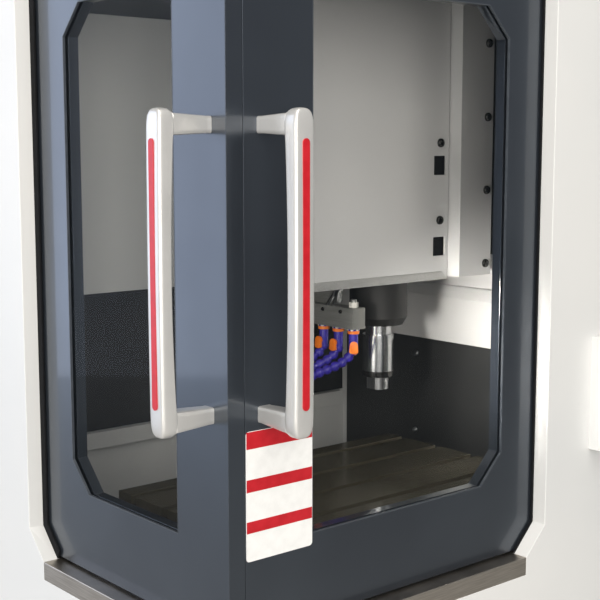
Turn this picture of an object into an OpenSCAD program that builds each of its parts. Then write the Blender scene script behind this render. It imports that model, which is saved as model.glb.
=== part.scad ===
// Enclosed engraving machine: a white sheet steel cabinet with two dark sliding doors that meet at
// its front left corner, a slotted table that moves front to back, and a spindle head that moves
// sideways and up and down on a cast bridge. Every module works in the corner frame: x and y are
// counted from the outer faces of the two doors and z from the floor.

/* [Cabinet] */
// Width over the side panels
body_w = 1060; // [1050:5:1160]
// Depth over the front and rear panels
body_d = 1000; // [990:5:1100]
// Height from the floor to the roof
body_h = 1900; // [1800:5:2000]
// Height of the lower edge of the panels
skirt_z = 100; // [90:5:120]
// Thickness of the sheet steel
sheet_t = 3; // [2:0.5:3.5]
// How far the doors sit behind the faces of the panels
recess = 24; // [22:1:28]
// Width of the front opening, from the door corner
open_w = 510; // [500:5:520]
// Depth of the left opening, from the door corner
open_d = 410; // [400:5:420]
// Height of the roof above the top of the sill
sill_drop = 1018; // [1010:1:1024]
// Height of the sill strip
sill_h = 24; // [20:1:28]
// Height of the roof above the top of both openings
head_drop = 210; // [200:5:220]
// Corner cut of both openings
open_cut = 37; // [25:1:45]

/* [Doors] */
// Thickness of a door
door_t = 22; // [20:1:24]
// How far a closed door reaches behind the panel
door_lap = 26; // [20:1:30]
// Stile between the closing edge of a door and its window
stile_w = 96; // [90:1:105]
// Frame between the front window and the edge of its opening
front_margin = 64; // [50:1:75]
// Frame between the left window and the edge of its opening
left_margin = 77; // [60:1:85]
// Frame below a window, from the sill
rail_low = 103; // [90:1:115]
// Frame above a window, from the top of the opening
rail_high = 95; // [80:1:105]
// Corner cut of a window
window_cut = 39; // [25:1:50]
// Thickness of the window glass
glass_t = 5; // [4:1:8]
// Thickness of the door's skin in front of the glass
lip_t = 3; // [2:0.5:5]
// Depth of the groove that holds the edges of the glass
rebate = 10; // [6:1:14]

/* [Door pulls] */
// Length of a pull
pull_l = 344; // [320:2:360]
// Distance between the legs of a pull
pull_pitch = 306; // [290:1:312]
// Reach of a pull from the door
pull_reach = 70; // [62:1:80]
// Width of a pull
pull_w = 25; // [20:1:30]
// Depth of the bar of a pull
pull_bar = 16; // [12:1:20]
// Height of a leg of a pull
pull_leg = 26; // [22:1:28]
// Place of the left pull, from the door corner
left_pull_y = 34; // [30:1:40]
// Place of the front pull, from the door corner
front_pull_x = 50; // [44:1:60]
// Height of the middle of a pull over the middle of the openings
pull_rise = 3; // [-10:1:15]
// Width of the red strip
strip_w = 9; // [6:1:12]
// Length of the red strip
strip_l = 282; // [240:1:290]

/* [Work table] */
// Length of the table, side to side
table_l = 520; // [480:5:540]
// Width of the table, front to back
table_w = 300; // [290:5:310]
// Thickness of the table
table_t = 50; // [46:1:54]
// Height of the top of the table over the sill
table_rise = 69; // [66:1:72]
// Left end of the table
table_x = 103; // [90:1:115]
// Front edge of the table
table_y = 91; // [88:1:95]
// Spacing of the slots
slot_pitch = 75; // [70:1:80]
// Width of a slot's mouth
slot_w = 12; // [10:1:14]
// Width of a slot's foot
slot_foot_w = 21; // [19:1:24]
// Height of a slot's foot
slot_foot_h = 9; // [7:1:11]
// Depth of a slot
slot_depth = 22; // [20:1:25]

/* [Axes] */
// Width of a guide rail
rail_w = 20; // [18:1:22]
// Height of a guide rail
rail_h = 17; // [15:1:19]
// Height of a rail with its carriage
block_h = 30; // [28:1:31]
// Width of a carriage
block_w = 44; // [42:1:46]
// Length of a carriage
block_l = 60; // [56:1:64]
// Diameter of a ball screw
screw_d = 16; // [14:1:17]
// Diameter of the turned ends of a ball screw
journal_d = 12; // [10:1:13]
// Side of a square axis motor
motor_w = 60; // [56:1:60]
// Length of an axis motor
motor_l = 78; // [70:1:84]

/* [Spindle head] */
// Place of the spindle axis, side to side
spindle_x = 539; // [536:1:542]
// Place of the spindle axis, front to back
spindle_y = 330; // [328:1:334]
// Diameter of the spindle body
spindle_d = 90; // [84:1:92]
// Diameter of the polished nose
nose_d = 48; // [44:1:52]
// Height of the lower face of the nose over the table
nose_rise = 117; // [112:1:122]
// Height of the polished nose
nose_h = 66; // [60:1:72]
// Bore of the collet
collet_bore_d = 6; // [4:0.5:8]
// Height of the lower edge of the head cover over the lower face of the nose
cover_rise = 152; // [148:1:156]
// Left side of the head cover
cover_x = 330; // [324:1:334]
// Width of the head cover
cover_w = 288; // [286:1:292]
// Front face of the head cover
cover_y = 260; // [256:1:264]
// Width of the shroud beside the head cover
shroud_w = 72; // [66:1:76]
// How far the shroud stands in front of the head cover
shroud_step = 23; // [18:1:28]

/* [Coolant] */
// Length of the coolant manifold
manifold_l = 100; // [96:1:110]
// Side of the coolant manifold
manifold_w = 24; // [22:1:26]
// Height of the coolant manifold
manifold_h = 31; // [28:1:34]
// Spacing of the ball segments
link_pitch = 12.5; // [11.5:0.5:13.5]
// Diameter of a ball segment
link_d = 13; // [12:0.5:14]

/* [Console] */
// Width of the operator console, as a share of the front panel beside the opening
console_share = 0.685; // [0.6:0.005:0.75]
// Height of the operator console
console_h = 157; // [140:1:170]
// Height of the lower edge of the console over the sill
console_rise = 126; // [110:1:140]
// How far the console stands out from the panel
console_out = 20; // [16:1:21]
// Diameter of the stop button
stop_d = 40; // [36:1:44]

/* [Hidden] */
$fn = 48;

// Colours
white = [0.90, 0.90, 0.89];
anthracite = [0.16, 0.18, 0.21];
black = [0.10, 0.10, 0.10];
cast_grey = [0.45, 0.46, 0.47];
steel = [0.70, 0.70, 0.72];
silver = [0.80, 0.80, 0.80];
red = [0.75, 0.12, 0.15];
violet = [0.20, 0.18, 0.55];
orange = [0.95, 0.45, 0.10];
smoke = [0.45, 0.50, 0.52, 0.35];

// One overrun for all cuts, and the clearances
over = 1;
run_gap = 0.05;
slide_gap = 0.5;
door_gap = 3;

// The corner frame is shifted so that the origin lies under the middle of the whole machine
pull_proud = pull_reach - recess;
corner_x = -(body_w + pull_proud) / 2 + pull_reach;
corner_y = -(body_d + pull_proud) / 2 + pull_reach;
out_x0 = -recess;
out_x1 = body_w - recess;
out_y0 = -recess;
out_y1 = body_d - recess;
roof_z = body_h - sheet_t;
sill_z = body_h - sill_drop;
head_z = body_h - head_drop;
pull_z = (sill_z + head_z) / 2 + pull_rise;
table_z = sill_z + table_rise;
nose_z = table_z + nose_rise;
cover_z = nose_z + cover_rise;

// Opening and doors
front_far = open_w + door_lap;
left_far = open_d + door_lap;
door_z0 = sill_z + door_gap;
door_top_lap = 25;
door_z1 = head_z + door_top_lap;
door_seam = 0.5;
front_near = door_t + door_seam;
jamb_gap = 1;
jamb_depth = recess - jamb_gap;
window_z0 = sill_z + rail_low;
window_z1 = head_z - rail_high;
tongue_t = 8;
tongue_h = 9;
groove_h = 8;
track_w = door_t + 2 * sheet_t;
track_h = 20;
sill_lap = 5;

// Bed, tray and inner walls
foot_d = 90;
foot_h = 18;
stud_d = 24;
foot_inset = 90;
base_h = 60;
bed_wall = 30;
bed_x0 = 36;
bed_x1 = 844;
bed_y0 = 40;
bed_y1 = 900;
tray_x0 = 28;
tray_y0 = 28;
tray_y1 = 628;
liner_x = 735;
tray_x1 = liner_x + sheet_t;
ledge_h = 26;
ledge_d = 12;
guard_front = 262;
guard_back = 612;
guard_drop = 119;
guard_z1 = cover_z - guard_drop;
guard_lift = 6;
guard_round = 14;
apron_out = 23;
apron_drop = 45;
apron_z1 = cover_z - apron_drop;
apron_slope = 18;
apron_z2 = apron_z1 + apron_slope;
apron_top = 11;
shield_lift = 30;
shield_z0 = cover_z + shield_lift;
shield_lap = 10;
shield_z1 = head_z + shield_lap;
shield_y1 = 504;
liner_y1 = tray_y1 - sheet_t;

// Table axis
table_mid_x = table_x + table_l / 2;
table_mid_y = table_y + table_w / 2;
slots = 4;
saddle_t = 30;
saddle_w = 360;
saddle_l = 220;
rail_top = table_z - table_t - saddle_t;
ped_z = rail_top - block_h;
ped_h = 61;
bed_z = ped_z - ped_h;
tray_h = 66;
tray_z = bed_z + tray_h;
guard_z0 = tray_z + guard_lift;
ledge_rise = 25;
ledge_z = table_z + ledge_rise;
curtain_lift = 59;
curtain_z0 = tray_z + curtain_lift;
ped_w = 386;
ped_x0 = table_mid_x - ped_w / 2;
ped_y0 = 50;
ped_y1 = 640;
y_rail_x = 150;
y_rail_y0 = 60;
y_rail_y1 = 618;
block_y = 70;
screw_gap = block_h / 2;
y_screw_z = ped_z + screw_gap;
nut_w = 40;
nut_l = 50;
nut_seat = 1;
support_w = 50;
support_l = 24;
support_gap = 2;
support_h = block_h - support_gap;
motor_bore_l = 10;
y_front_support = 52;
y_rear_support = 606;
y_motor_y = y_rear_support + support_l + motor_bore_l;
motor_step_z = y_screw_z - motor_w / 2;

// Bridge and the axis along it
column_w = 100;
column_y0 = 640;
column_y1 = 880;
beam_y0 = 540;
beam_y1 = 800;
beam_drop = 100;
beam_h = 200;
beam_z1 = body_h - beam_drop;
beam_z0 = beam_z1 - beam_h;
x_seat = 10;
x_plate_y1 = beam_y0 - block_h - x_seat;
x_rail_in = 40;
x_rail_low = beam_z0 + x_rail_in + x_seat;
x_rail_high = beam_z1 - x_rail_in + x_seat;
x_screw_z = (x_rail_low + x_rail_high) / 2;
x_rail_x0 = 40;
x_rail_x1 = 738;
x_gap = beam_y0 - x_plate_y1;
x_screw_y = beam_y0 - x_gap / 2;
x_left_support = 56;
x_right_support = 710;
x_motor_gap = 6;
x_motor_x = x_right_support + support_l + x_motor_gap;
beam_guard_y = 505;
beam_guard_drop = 9;
beam_guard_lap = 8;
beam_guard_z0 = cover_z - beam_guard_drop;
beam_guard_z1 = beam_z0 + beam_guard_lap;

// Sideways saddle and the upright axis
x_plate_t = 30;
x_plate_y0 = x_plate_y1 - x_plate_t;
shroud_gap = 2;
shroud_x = cover_x + cover_w + shroud_gap;
shroud_y = cover_y - shroud_step;
shroud_lift = 4;
shroud_z0 = cover_z + shroud_lift;
x_plate_x0 = cover_x;
x_plate_x1 = shroud_x + shroud_w;
x_plate_lift = 6;
x_plate_z0 = cover_z + x_plate_lift;
x_plate_z1 = beam_z1;
shroud_drop = 10;
shroud_z1 = x_plate_z1 - shroud_drop;
x_block_in = 20;
z_mid_x = cover_x + cover_w / 2;
z_rail_x = 80;
z_rail_in = 4;
z_rail_z0 = x_plate_z0 + z_rail_in;
z_rail_z1 = x_plate_z1 - 2 * z_rail_in;
z_slide_t = 28;
z_slide_y1 = x_plate_y0 - block_h;
z_slide_y0 = z_slide_y1 - z_slide_t;
z_slide_lift = 30;
z_slide_z0 = cover_z + z_slide_lift;
z_slide_h = 350;
z_slide_z1 = z_slide_z0 + z_slide_h;
z_block_rise = 100;
z_block_pitch = 160;
z_block_low = z_slide_z0 + z_block_rise;
z_block_high = z_block_low + z_block_pitch;
z_screw_y = (z_slide_y1 + x_plate_y0) / 2;
z_low_support = x_plate_z0 + support_gap;
z_support_drop = 60;
z_high_support = x_plate_z1 - z_support_drop;
z_nut_rise = 150;
z_nut_z = z_slide_z0 + z_nut_rise;
clamp_w = 108;
clamp_lift = 10;
clamp_h = 120;
clamp_z0 = z_slide_z0 + clamp_lift;
clamp_z1 = clamp_z0 + clamp_h;
clamp_wall = 8;

// Head cover
cover_h = 480;
cover_z1 = cover_z + cover_h;
hem = 12;
port_w = 26;
port_h = 29;
port_in = 19;
port_rise_low = 51;
port_rise_high = 174;

// Spindle
neck_h = 16;
housing_z0 = nose_z + nose_h + neck_h;
cone_h = 12;
cone_d = 76;
housing_rise = 340;
housing_z1 = cover_z + housing_rise;
neck_d = 40;
shaft_d = 24;
shaft_l = 100;
nut_d = 34;
nut_h = 20;
nut_flat = 29;
bore_deep = 12;

// Coolant
manifold_x = 433;
manifold_y = 273;
manifold_drop = 33;
manifold_z1 = cover_z - manifold_drop;
manifold_z0 = manifold_z1 - manifold_h;
hanger_t = 6;
hanger_y = 330;
hanger_rise = 30;
fitting_d = 9;
fitting_h = 12;
port_pitch = 33;
port_first = 12;
valve_d = 14;
valve_l = 30;
valve_drop = 24;
valve_turns = [50, 0, 0];
collar_d = 17;
collar_h = 7;
lever_hub_d = 12;
lever_hub_l = 6;
lever_l = 12.5;
lever_w = 11;
lever_t = 4;
tip_l = 20;
tip_d = 5;
neck_share = 0.62;
socket_share = 0.9;
hose_leans = [50, 40, 30];
link_turns = [35, 15, 10, 6, 0, 0];

// Console
console_shift = 9;
beside_w = out_x1 - open_w;
console_w = beside_w * console_share;
console_x = open_w + (beside_w - console_w) / 2 + console_shift;
console_z = sill_z + console_rise;
screen_in = 30;
screen_x = console_x + screen_in;
screen_rise = 358;
screen_z = sill_z + screen_rise;
screen_w = console_w - 2 * screen_in;
screen_h = 210;
screen_t = 14;
bezel = 12;
stop_in = 60;
stop_x = console_x + console_w - stop_in;
stop_z = console_z + console_h / 2;
stop_stem_d = 22;
stop_stem_l = 24;
stop_cap = 12;
stop_lift = 8;
console_wall = 3;

// Pulls
fillet_share = 0.5;
leg_taper = 5;

// Louvres in the right panel
louvre_n = 9;
louvre_l = 220;
louvre_h = 8;
louvre_pitch = 26;
louvre_y = 620;
louvre_z = 420;

// Helpers
module slab(x0, x1, y0, y1, z0, z1) {
    translate([x0, y0, z0]) cube([x1 - x0, y1 - y0, z1 - z0]);
}

module front_plate(y0, t) {
    translate([0, y0 + t, 0]) rotate([90, 0, 0]) linear_extrude(t) children();
}

module side_plate(x0, t) {
    translate([x0, 0, 0]) rotate([90, 0, 90]) linear_extrude(t) children();
}

module rod_y(x, y0, y1, z, d) {
    translate([x, y0, z]) rotate([-90, 0, 0]) cylinder(d = d, h = y1 - y0);
}

module rod_x(x0, x1, y, z, d) {
    translate([x0, y, z]) rotate([0, 90, 0]) cylinder(d = d, h = x1 - x0);
}

module rod_z(x, y, z0, z1, d) {
    translate([x, y, z0]) cylinder(d = d, h = z1 - z0);
}

module in_corner() {
    translate([corner_x, corner_y, 0]) children();
}

// Outline of a door opening: open at the corner, with both far corners cut, grown by g. The lower cut
// ends on the sill, and the outline goes straight down beside the end of the sill.
function opening(near, far, g) = [
    [near, sill_z - sill_h], [far - open_cut + g * sqrt(2), sill_z - sill_h],
    [far - open_cut + g * sqrt(2), sill_z], [far + g, sill_z + open_cut + g - g * sqrt(2)],
    [far + g, head_z - open_cut - g + g * sqrt(2)], [far - open_cut - g + g * sqrt(2), head_z + g],
    [near, head_z + g]];

// Outline of a window: square at the closing edge, cut at the far edge, grown by g
function window(near, far, g) = [
    [near - g, window_z0 - g], [far + g - window_cut, window_z0 - g],
    [far + g, window_z0 - g + window_cut], [far + g, window_z1 + g - window_cut],
    [far + g - window_cut, window_z1 + g], [near - g, window_z1 + g]];

front_window = [front_near + stile_w, open_w - front_margin];
left_window = [stile_w, open_d - left_margin];

// Cast bed: a broad foot, a hollow body with a shoulder for the tray, and a raised way for the rails
module bed() {
    color(cast_grey) in_corner() difference() {
        union() {
            slab(out_x0 + sheet_t, out_x1 - sheet_t, out_y0 + sheet_t, out_y1 - sheet_t,
                skirt_z, skirt_z + base_h);
            slab(bed_x0, bed_x1, bed_y0, bed_y1, skirt_z + base_h, bed_z);
            slab(ped_x0, ped_x0 + ped_w, ped_y0, ped_y1, bed_z, ped_z);
            slab(table_mid_x - motor_w, table_mid_x + motor_w, ped_y1, y_motor_y + motor_l,
                bed_z, motor_step_z);
        }
        slab(bed_x0 + bed_wall, bed_x1 - bed_wall, bed_y0 + bed_wall, bed_y1 - bed_wall,
            skirt_z - over, bed_z - bed_wall);
    }
}

module levelling_feet() {
    color(black) in_corner()
        for (x = [out_x0 + foot_inset, (out_x0 + out_x1) / 2, out_x1 - foot_inset])
            for (y = [out_y0 + foot_inset / 2, out_y1 - foot_inset / 2]) {
                rod_z(x, y, 0, foot_h, foot_d);
                rod_z(x, y, foot_h, skirt_z, stud_d);
            }
}

// Cast bridge: two columns and a beam that reaches forward over the table
module bridge() {
    color(cast_grey) in_corner() difference() {
        union() {
            slab(bed_x0, bed_x0 + column_w, column_y0, column_y1, bed_z, beam_z0);
            slab(bed_x1 - column_w, bed_x1, column_y0, column_y1, bed_z, beam_z0);
            slab(bed_x0, bed_x1, beam_y0, beam_y1, beam_z0, beam_z1);
        }
        slab(x_motor_x - over, bed_x1 + over, beam_y0 - over, x_screw_y + motor_w / 2,
            x_screw_z - motor_w / 2 - over, x_screw_z + motor_w / 2 + over);
    }
}

// Cabinet panels
module left_panel() {
    color(white) in_corner() {
        side_plate(out_x0, sheet_t) difference() {
            polygon([[out_y0 + sheet_t, skirt_z], [out_y1 - sheet_t, skirt_z],
                [out_y1 - sheet_t, roof_z], [out_y0 + sheet_t, roof_z]]);
            polygon(opening(out_y0 - over, open_d, 0));
        }
        side_plate(out_x0 + sheet_t, jamb_depth - sheet_t) difference() {
            polygon(opening(0, open_d, sheet_t));
            polygon(opening(-over, open_d, 0));
        }
    }
}

module front_panel() {
    color(white) in_corner() {
        front_plate(out_y0, sheet_t) difference() {
            polygon([[out_x0, skirt_z], [out_x1, skirt_z], [out_x1, roof_z], [out_x0, roof_z]]);
            polygon(opening(out_x0 - over, open_w, 0));
            translate([screen_x, screen_z]) square([screen_w, screen_h]);
            translate([stop_x, stop_z]) circle(d = stop_stem_d + 2 * sheet_t);
        }
        front_plate(out_y0 + sheet_t, jamb_depth - sheet_t) difference() {
            polygon(opening(0, open_w, sheet_t));
            polygon(opening(-over, open_w, 0));
        }
    }
}

module right_panel() {
    color(white) in_corner() difference() {
        slab(out_x1 - sheet_t, out_x1, out_y0 + sheet_t, out_y1 - sheet_t, skirt_z, roof_z);
        for (i = [0 : louvre_n - 1])
            slab(out_x1 - sheet_t - over, out_x1 + over, louvre_y, louvre_y + louvre_l,
                louvre_z + i * louvre_pitch, louvre_z + i * louvre_pitch + louvre_h);
    }
}

module rear_panel() {
    color(white) in_corner()
        slab(out_x0, out_x1, out_y1 - sheet_t, out_y1, skirt_z, roof_z);
}

module roof_panel() {
    color(white) in_corner() {
        slab(out_x0, out_x1, out_y0, out_y1, roof_z, body_h);
        difference() {
            slab(out_x0 + sheet_t, out_x1 - sheet_t, out_y0 + sheet_t, out_y1 - sheet_t,
                roof_z - sill_h, roof_z);
            slab(out_x0 + 2 * sheet_t, out_x1 - 2 * sheet_t, out_y0 + 2 * sheet_t,
                out_y1 - 2 * sheet_t, roof_z - sill_h - over, roof_z + over);
        }
    }
}

// Brushed sill along both openings, with the grooves that the doors run in
module sill() {
    sill_z0 = sill_z - sill_h;
    color(steel) in_corner() difference() {
        union() {
            slab(out_x0, open_w - open_cut, out_y0, 0, sill_z0, sill_z);
            slab(out_x0, 0, out_y0, open_d - open_cut, sill_z0, sill_z);
            slab(0, out_x1 - sheet_t, 0, door_t + sill_lap, sill_z0, sill_z);
            slab(0, door_t + sill_lap, 0, open_d + left_far, sill_z0, sill_z);
        }
        slab(front_near, out_x1, (door_t - tongue_t) / 2 - slide_gap,
            (door_t + tongue_t) / 2 + slide_gap, sill_z - groove_h, sill_z + over);
        slab((door_t - tongue_t) / 2 - slide_gap, (door_t + tongue_t) / 2 + slide_gap, door_gap,
            open_d + left_far + over, sill_z - groove_h, sill_z + over);
    }
}

// Channels over the doors, fixed to the panels
module door_tracks() {
    z0 = door_z1 + door_gap;
    color(steel) in_corner() difference() {
        union() {
            slab(out_x0 + sheet_t, out_x1 - sheet_t, out_y0 + sheet_t, track_w, z0, z0 + track_h);
            slab(out_x0 + sheet_t, track_w, out_y0 + sheet_t, open_d + left_far, z0, z0 + track_h);
        }
        slab(front_near, out_x1, (door_t - tongue_t) / 2 - slide_gap,
            (door_t + tongue_t) / 2 + slide_gap, z0 - over, z0 + groove_h);
        slab((door_t - tongue_t) / 2 - slide_gap, (door_t + tongue_t) / 2 + slide_gap, door_gap,
            open_d + left_far + over, z0 - over, z0 + groove_h);
    }
}

// Inner sheet metal of the work chamber
module rear_splash() {
    notch = support_w / 2 + door_gap;
    notch_z = y_screw_z + support_h - screw_gap + door_gap;
    color(white) in_corner() {
        front_plate(liner_y1, sheet_t) polygon([[tray_x0, tray_z],
            [table_mid_x - notch, tray_z], [table_mid_x - notch, notch_z],
            [table_mid_x + notch, notch_z], [table_mid_x + notch, tray_z],
            [liner_x, tray_z], [liner_x, ledge_z], [tray_x0, ledge_z]]);
        slab(tray_x0, liner_x - guard_round, liner_y1 - ledge_d, liner_y1, ledge_z - ledge_h, ledge_z);
    }
}

module rear_curtain() {
    color(black) in_corner()
        slab(bed_x0 + column_w / 2, bed_x1 - column_w / 2, column_y0 - sheet_t, column_y0,
            curtain_z0, beam_z0 - 2 * sheet_t);
}

module side_liner() {
    x1 = liner_x + sheet_t;
    color(white) in_corner() translate([0, tray_y1, 0]) rotate([90, 0, 0])
        linear_extrude(tray_y1 - tray_y0) polygon([[x1, tray_z], [liner_x, tray_z],
            [liner_x, guard_z1], [liner_x - apron_out, guard_z1], [liner_x - apron_out, apron_z1],
            [liner_x - apron_top, apron_z2], [liner_x, apron_z2], [liner_x, shield_z0],
            [x1, shield_z0], [x1, apron_z2 - sheet_t],
            [liner_x - apron_top + sheet_t, apron_z2 - sheet_t],
            [liner_x - apron_out + sheet_t, apron_z1 - sheet_t],
            [liner_x - apron_out + sheet_t, guard_z1 + sheet_t], [x1, guard_z1 + sheet_t]]);
}

module side_guard() {
    color(black) in_corner() side_plate(liner_x - sheet_t, sheet_t) difference() {
        polygon([[guard_front, guard_z0], [guard_back, guard_z0], [guard_back, guard_z1],
            [guard_front, guard_z1]]);
        translate([guard_front, guard_z1 - guard_round]) difference() {
            translate([-over, 0]) square([guard_round + over, guard_round + over]);
            translate([guard_round, 0]) circle(r = guard_round);
        }
    }
}

module side_shield() {
    color(black) in_corner()
        slab(liner_x, liner_x + sheet_t, tray_y0, shield_y1, shield_z0, shield_z1);
}

module beam_guard() {
    color(white) in_corner() {
        slab(tray_x0, liner_x, beam_guard_y, beam_guard_y + sheet_t, beam_guard_z0, beam_guard_z1);
        slab(tray_x0, liner_x, beam_guard_y + sheet_t, beam_y0, beam_guard_z1 - sheet_t,
            beam_guard_z1);
    }
}

module chip_tray() {
    color(white) in_corner() difference() {
        slab(tray_x0, tray_x1, tray_y0, tray_y1, bed_z, tray_z);
        slab(tray_x0 + sheet_t, tray_x1 - sheet_t, tray_y0 + sheet_t, tray_y1 - sheet_t,
            bed_z + sheet_t, tray_z + over);
        slab(ped_x0 - slide_gap, ped_x0 + ped_w + slide_gap, ped_y0 - slide_gap, tray_y1 + over,
            bed_z - over, tray_z + over);
    }
}

// Guide rails, carriages and screws of the table
module y_rails() {
    color(steel) in_corner() for (s = [-1, 1])
        slab(table_mid_x + s * y_rail_x - rail_w / 2, table_mid_x + s * y_rail_x + rail_w / 2,
            y_rail_y0, y_rail_y1, ped_z, ped_z + rail_h);
}

// A carriage that stands on its rail, with the rail along y and the rail's foot at the origin
module carriage() {
    channel_w = rail_w + 2 * slide_gap;
    foot_gap = rail_h / 4;
    difference() {
        translate([-block_w / 2, -block_l / 2, foot_gap])
            cube([block_w, block_l, block_h - foot_gap]);
        translate([-channel_w / 2, -block_l / 2 - over, 0])
            cube([channel_w, block_l + 2 * over, rail_h + slide_gap]);
    }
}

module y_blocks() {
    color(steel) in_corner() for (s = [-1, 1]) for (t = [-1, 1])
        translate([table_mid_x + s * y_rail_x, table_mid_y + t * block_y, ped_z]) carriage();
}

// A nut block that hangs under a plate, with the screw along y through the origin
module nut_block() {
    difference() {
        translate([-nut_w / 2, -nut_l / 2, -screw_gap + nut_seat])
            cube([nut_w, nut_l, 2 * screw_gap - nut_seat]);
        rod_y(0, -nut_l / 2 - over, nut_l / 2 + over, 0, screw_d + 2 * slide_gap);
    }
}

// A bearing block that stands on a plate, with the screw along y through the origin
module support_block(l) {
    difference() {
        translate([-support_w / 2, 0, -screw_gap])
            cube([support_w, l, support_h]);
        rod_y(0, -over, l + over, 0, journal_d + 2 * run_gap);
    }
}

// A ball screw along y with turned ends
module ball_screw(l, front_l, back_l) {
    rod_y(0, 0, l, 0, journal_d);
    rod_y(0, front_l, l - back_l, 0, screw_d);
}

module y_nut() {
    color(steel) in_corner() translate([table_mid_x, table_mid_y, y_screw_z]) nut_block();
}

module screw_supports() {
    color(cast_grey) in_corner() {
        for (y = [y_front_support, y_rear_support])
            translate([table_mid_x, y, y_screw_z]) support_block(support_l);
        for (x = [x_left_support, x_right_support])
            translate([x, x_screw_y, x_screw_z]) rotate([0, 0, -90]) rotate([0, 90, 0])
                x_support();
    }
}

// A bearing block on the front of the beam, as a support block on a deeper seat
module x_support() {
    seat = x_gap / 2;
    difference() {
        translate([-support_w / 2, 0, -seat]) cube([support_w, support_l, x_gap - support_gap]);
        rod_y(0, -over, support_l + over, 0, journal_d + 2 * run_gap);
    }
}

module y_screw() {
    l = y_motor_y + motor_bore_l / 2 - y_front_support;
    color(steel) in_corner() translate([table_mid_x, y_front_support, y_screw_z])
        ball_screw(l, support_l + slide_gap, l - (y_rear_support - y_front_support) + slide_gap);
}

// A square motor with its shaft bore in the face at the origin, along y
module axis_motor() {
    round_d = motor_w / 4;
    difference() {
        union() {
            translate([-motor_w / 2, 0, -motor_w / 2]) cube([motor_w, motor_l / 6, motor_w]);
            intersection() {
                translate([-motor_w / 2, 0, -motor_w / 2]) cube([motor_w, motor_l, motor_w]);
                rod_y(0, 0, motor_l, 0, motor_w * sqrt(2) - round_d);
            }
        }
        rod_y(0, -over, motor_bore_l, 0, journal_d + 2 * slide_gap);
    }
}

module axis_motors() {
    color(black) in_corner() {
        translate([table_mid_x, y_motor_y, y_screw_z]) axis_motor();
        translate([x_motor_x, x_screw_y, x_screw_z]) rotate([0, 0, -90]) axis_motor();
    }
}

module table_saddle() {
    color(cast_grey) in_corner()
        slab(table_mid_x - saddle_w / 2, table_mid_x + saddle_w / 2, table_mid_y - saddle_l / 2,
            table_mid_y + saddle_l / 2, rail_top, rail_top + saddle_t);
}

// Slotted table, drawn as the section across its slots
module work_table() {
    z0 = table_z - table_t;
    color(black) in_corner() side_plate(table_x, table_l) difference() {
        polygon([[table_y, z0], [table_y + table_w, z0], [table_y + table_w, table_z],
            [table_y, table_z]]);
        for (i = [0 : slots - 1]) {
            y = table_mid_y + (i - (slots - 1) / 2) * slot_pitch;
            translate([y - slot_w / 2, table_z - slot_depth]) square([slot_w, slot_depth + over]);
            translate([y - slot_foot_w / 2, table_z - slot_depth])
                square([slot_foot_w, slot_foot_h]);
        }
    }
}

// Guide rails, carriages and screw of the sideways axis
module x_rails() {
    color(steel) in_corner() for (z = [x_rail_low, x_rail_high])
        slab(x_rail_x0, x_rail_x1, beam_y0 - rail_h, beam_y0, z - rail_w / 2, z + rail_w / 2);
}

module x_blocks() {
    seat = x_gap - block_h;
    color(steel) in_corner() for (z = [x_rail_low, x_rail_high])
        for (x = [x_plate_x0 + x_block_in + block_l / 2, x_plate_x1 - x_block_in - block_l / 2])
            translate([x, beam_y0, z]) {
                rotate([0, 0, -90]) rotate([0, 90, 0]) carriage();
                translate([-block_l / 2, -x_gap, -block_w / 2]) cube([block_l, seat, block_w]);
            }
}

module x_nut() {
    w = x_gap - nut_seat;
    color(steel) in_corner() translate([z_mid_x, x_screw_y, x_screw_z]) difference() {
        translate([-nut_l / 2, -x_gap / 2, -nut_w / 2]) cube([nut_l, w, nut_w]);
        rod_x(-nut_l / 2 - over, nut_l / 2 + over, 0, 0, screw_d + 2 * slide_gap);
    }
}

module x_screw() {
    l = x_motor_x + motor_bore_l / 2 - x_left_support;
    color(steel) in_corner() translate([x_left_support, x_screw_y, x_screw_z])
        rotate([0, 0, -90])
            ball_screw(l, support_l + slide_gap, l - (x_right_support - x_left_support) + slide_gap);
}

module x_saddle() {
    color(cast_grey) in_corner()
        slab(x_plate_x0, x_plate_x1, x_plate_y0, x_plate_y1, x_plate_z0, x_plate_z1);
}

// Folded shroud beside the head cover: front face, inner return and a side that reaches the saddle
module side_shroud() {
    x1 = shroud_x + shroud_w;
    color(white) in_corner() translate([0, 0, shroud_z0]) linear_extrude(shroud_z1 - shroud_z0)
        polygon([[shroud_x, shroud_y], [x1, shroud_y], [x1, x_plate_y0],
            [x1 - sheet_t, x_plate_y0], [x1 - sheet_t, shroud_y + sheet_t],
            [shroud_x + sheet_t, shroud_y + sheet_t], [shroud_x + sheet_t, cover_y + sheet_t],
            [shroud_x, cover_y + sheet_t]]);
}

// Guide rails, carriages and screw of the upright axis
module z_rails() {
    color(steel) in_corner() for (s = [-1, 1])
        slab(z_mid_x + s * z_rail_x - rail_w / 2, z_mid_x + s * z_rail_x + rail_w / 2,
            x_plate_y0 - rail_h, x_plate_y0, z_rail_z0, z_rail_z1);
}

module z_blocks() {
    color(steel) in_corner() for (s = [-1, 1]) for (z = [z_block_low, z_block_high])
        translate([z_mid_x + s * z_rail_x, x_plate_y0, z]) rotate([90, 0, 0]) carriage();
}

module z_supports() {
    color(cast_grey) in_corner() for (z = [z_low_support, z_high_support])
        translate([z_mid_x, z_screw_y, z]) rotate([90, 0, 0]) support_block(support_l);
}

module z_nut() {
    color(steel) in_corner() translate([z_mid_x, z_screw_y, z_nut_z]) difference() {
        translate([-nut_w / 2, -screw_gap, -nut_l / 2])
            cube([nut_w, 2 * screw_gap - nut_seat, nut_l]);
        rod_z(0, 0, -nut_l / 2 - over, nut_l / 2 + over, screw_d + 2 * slide_gap);
    }
}

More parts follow.
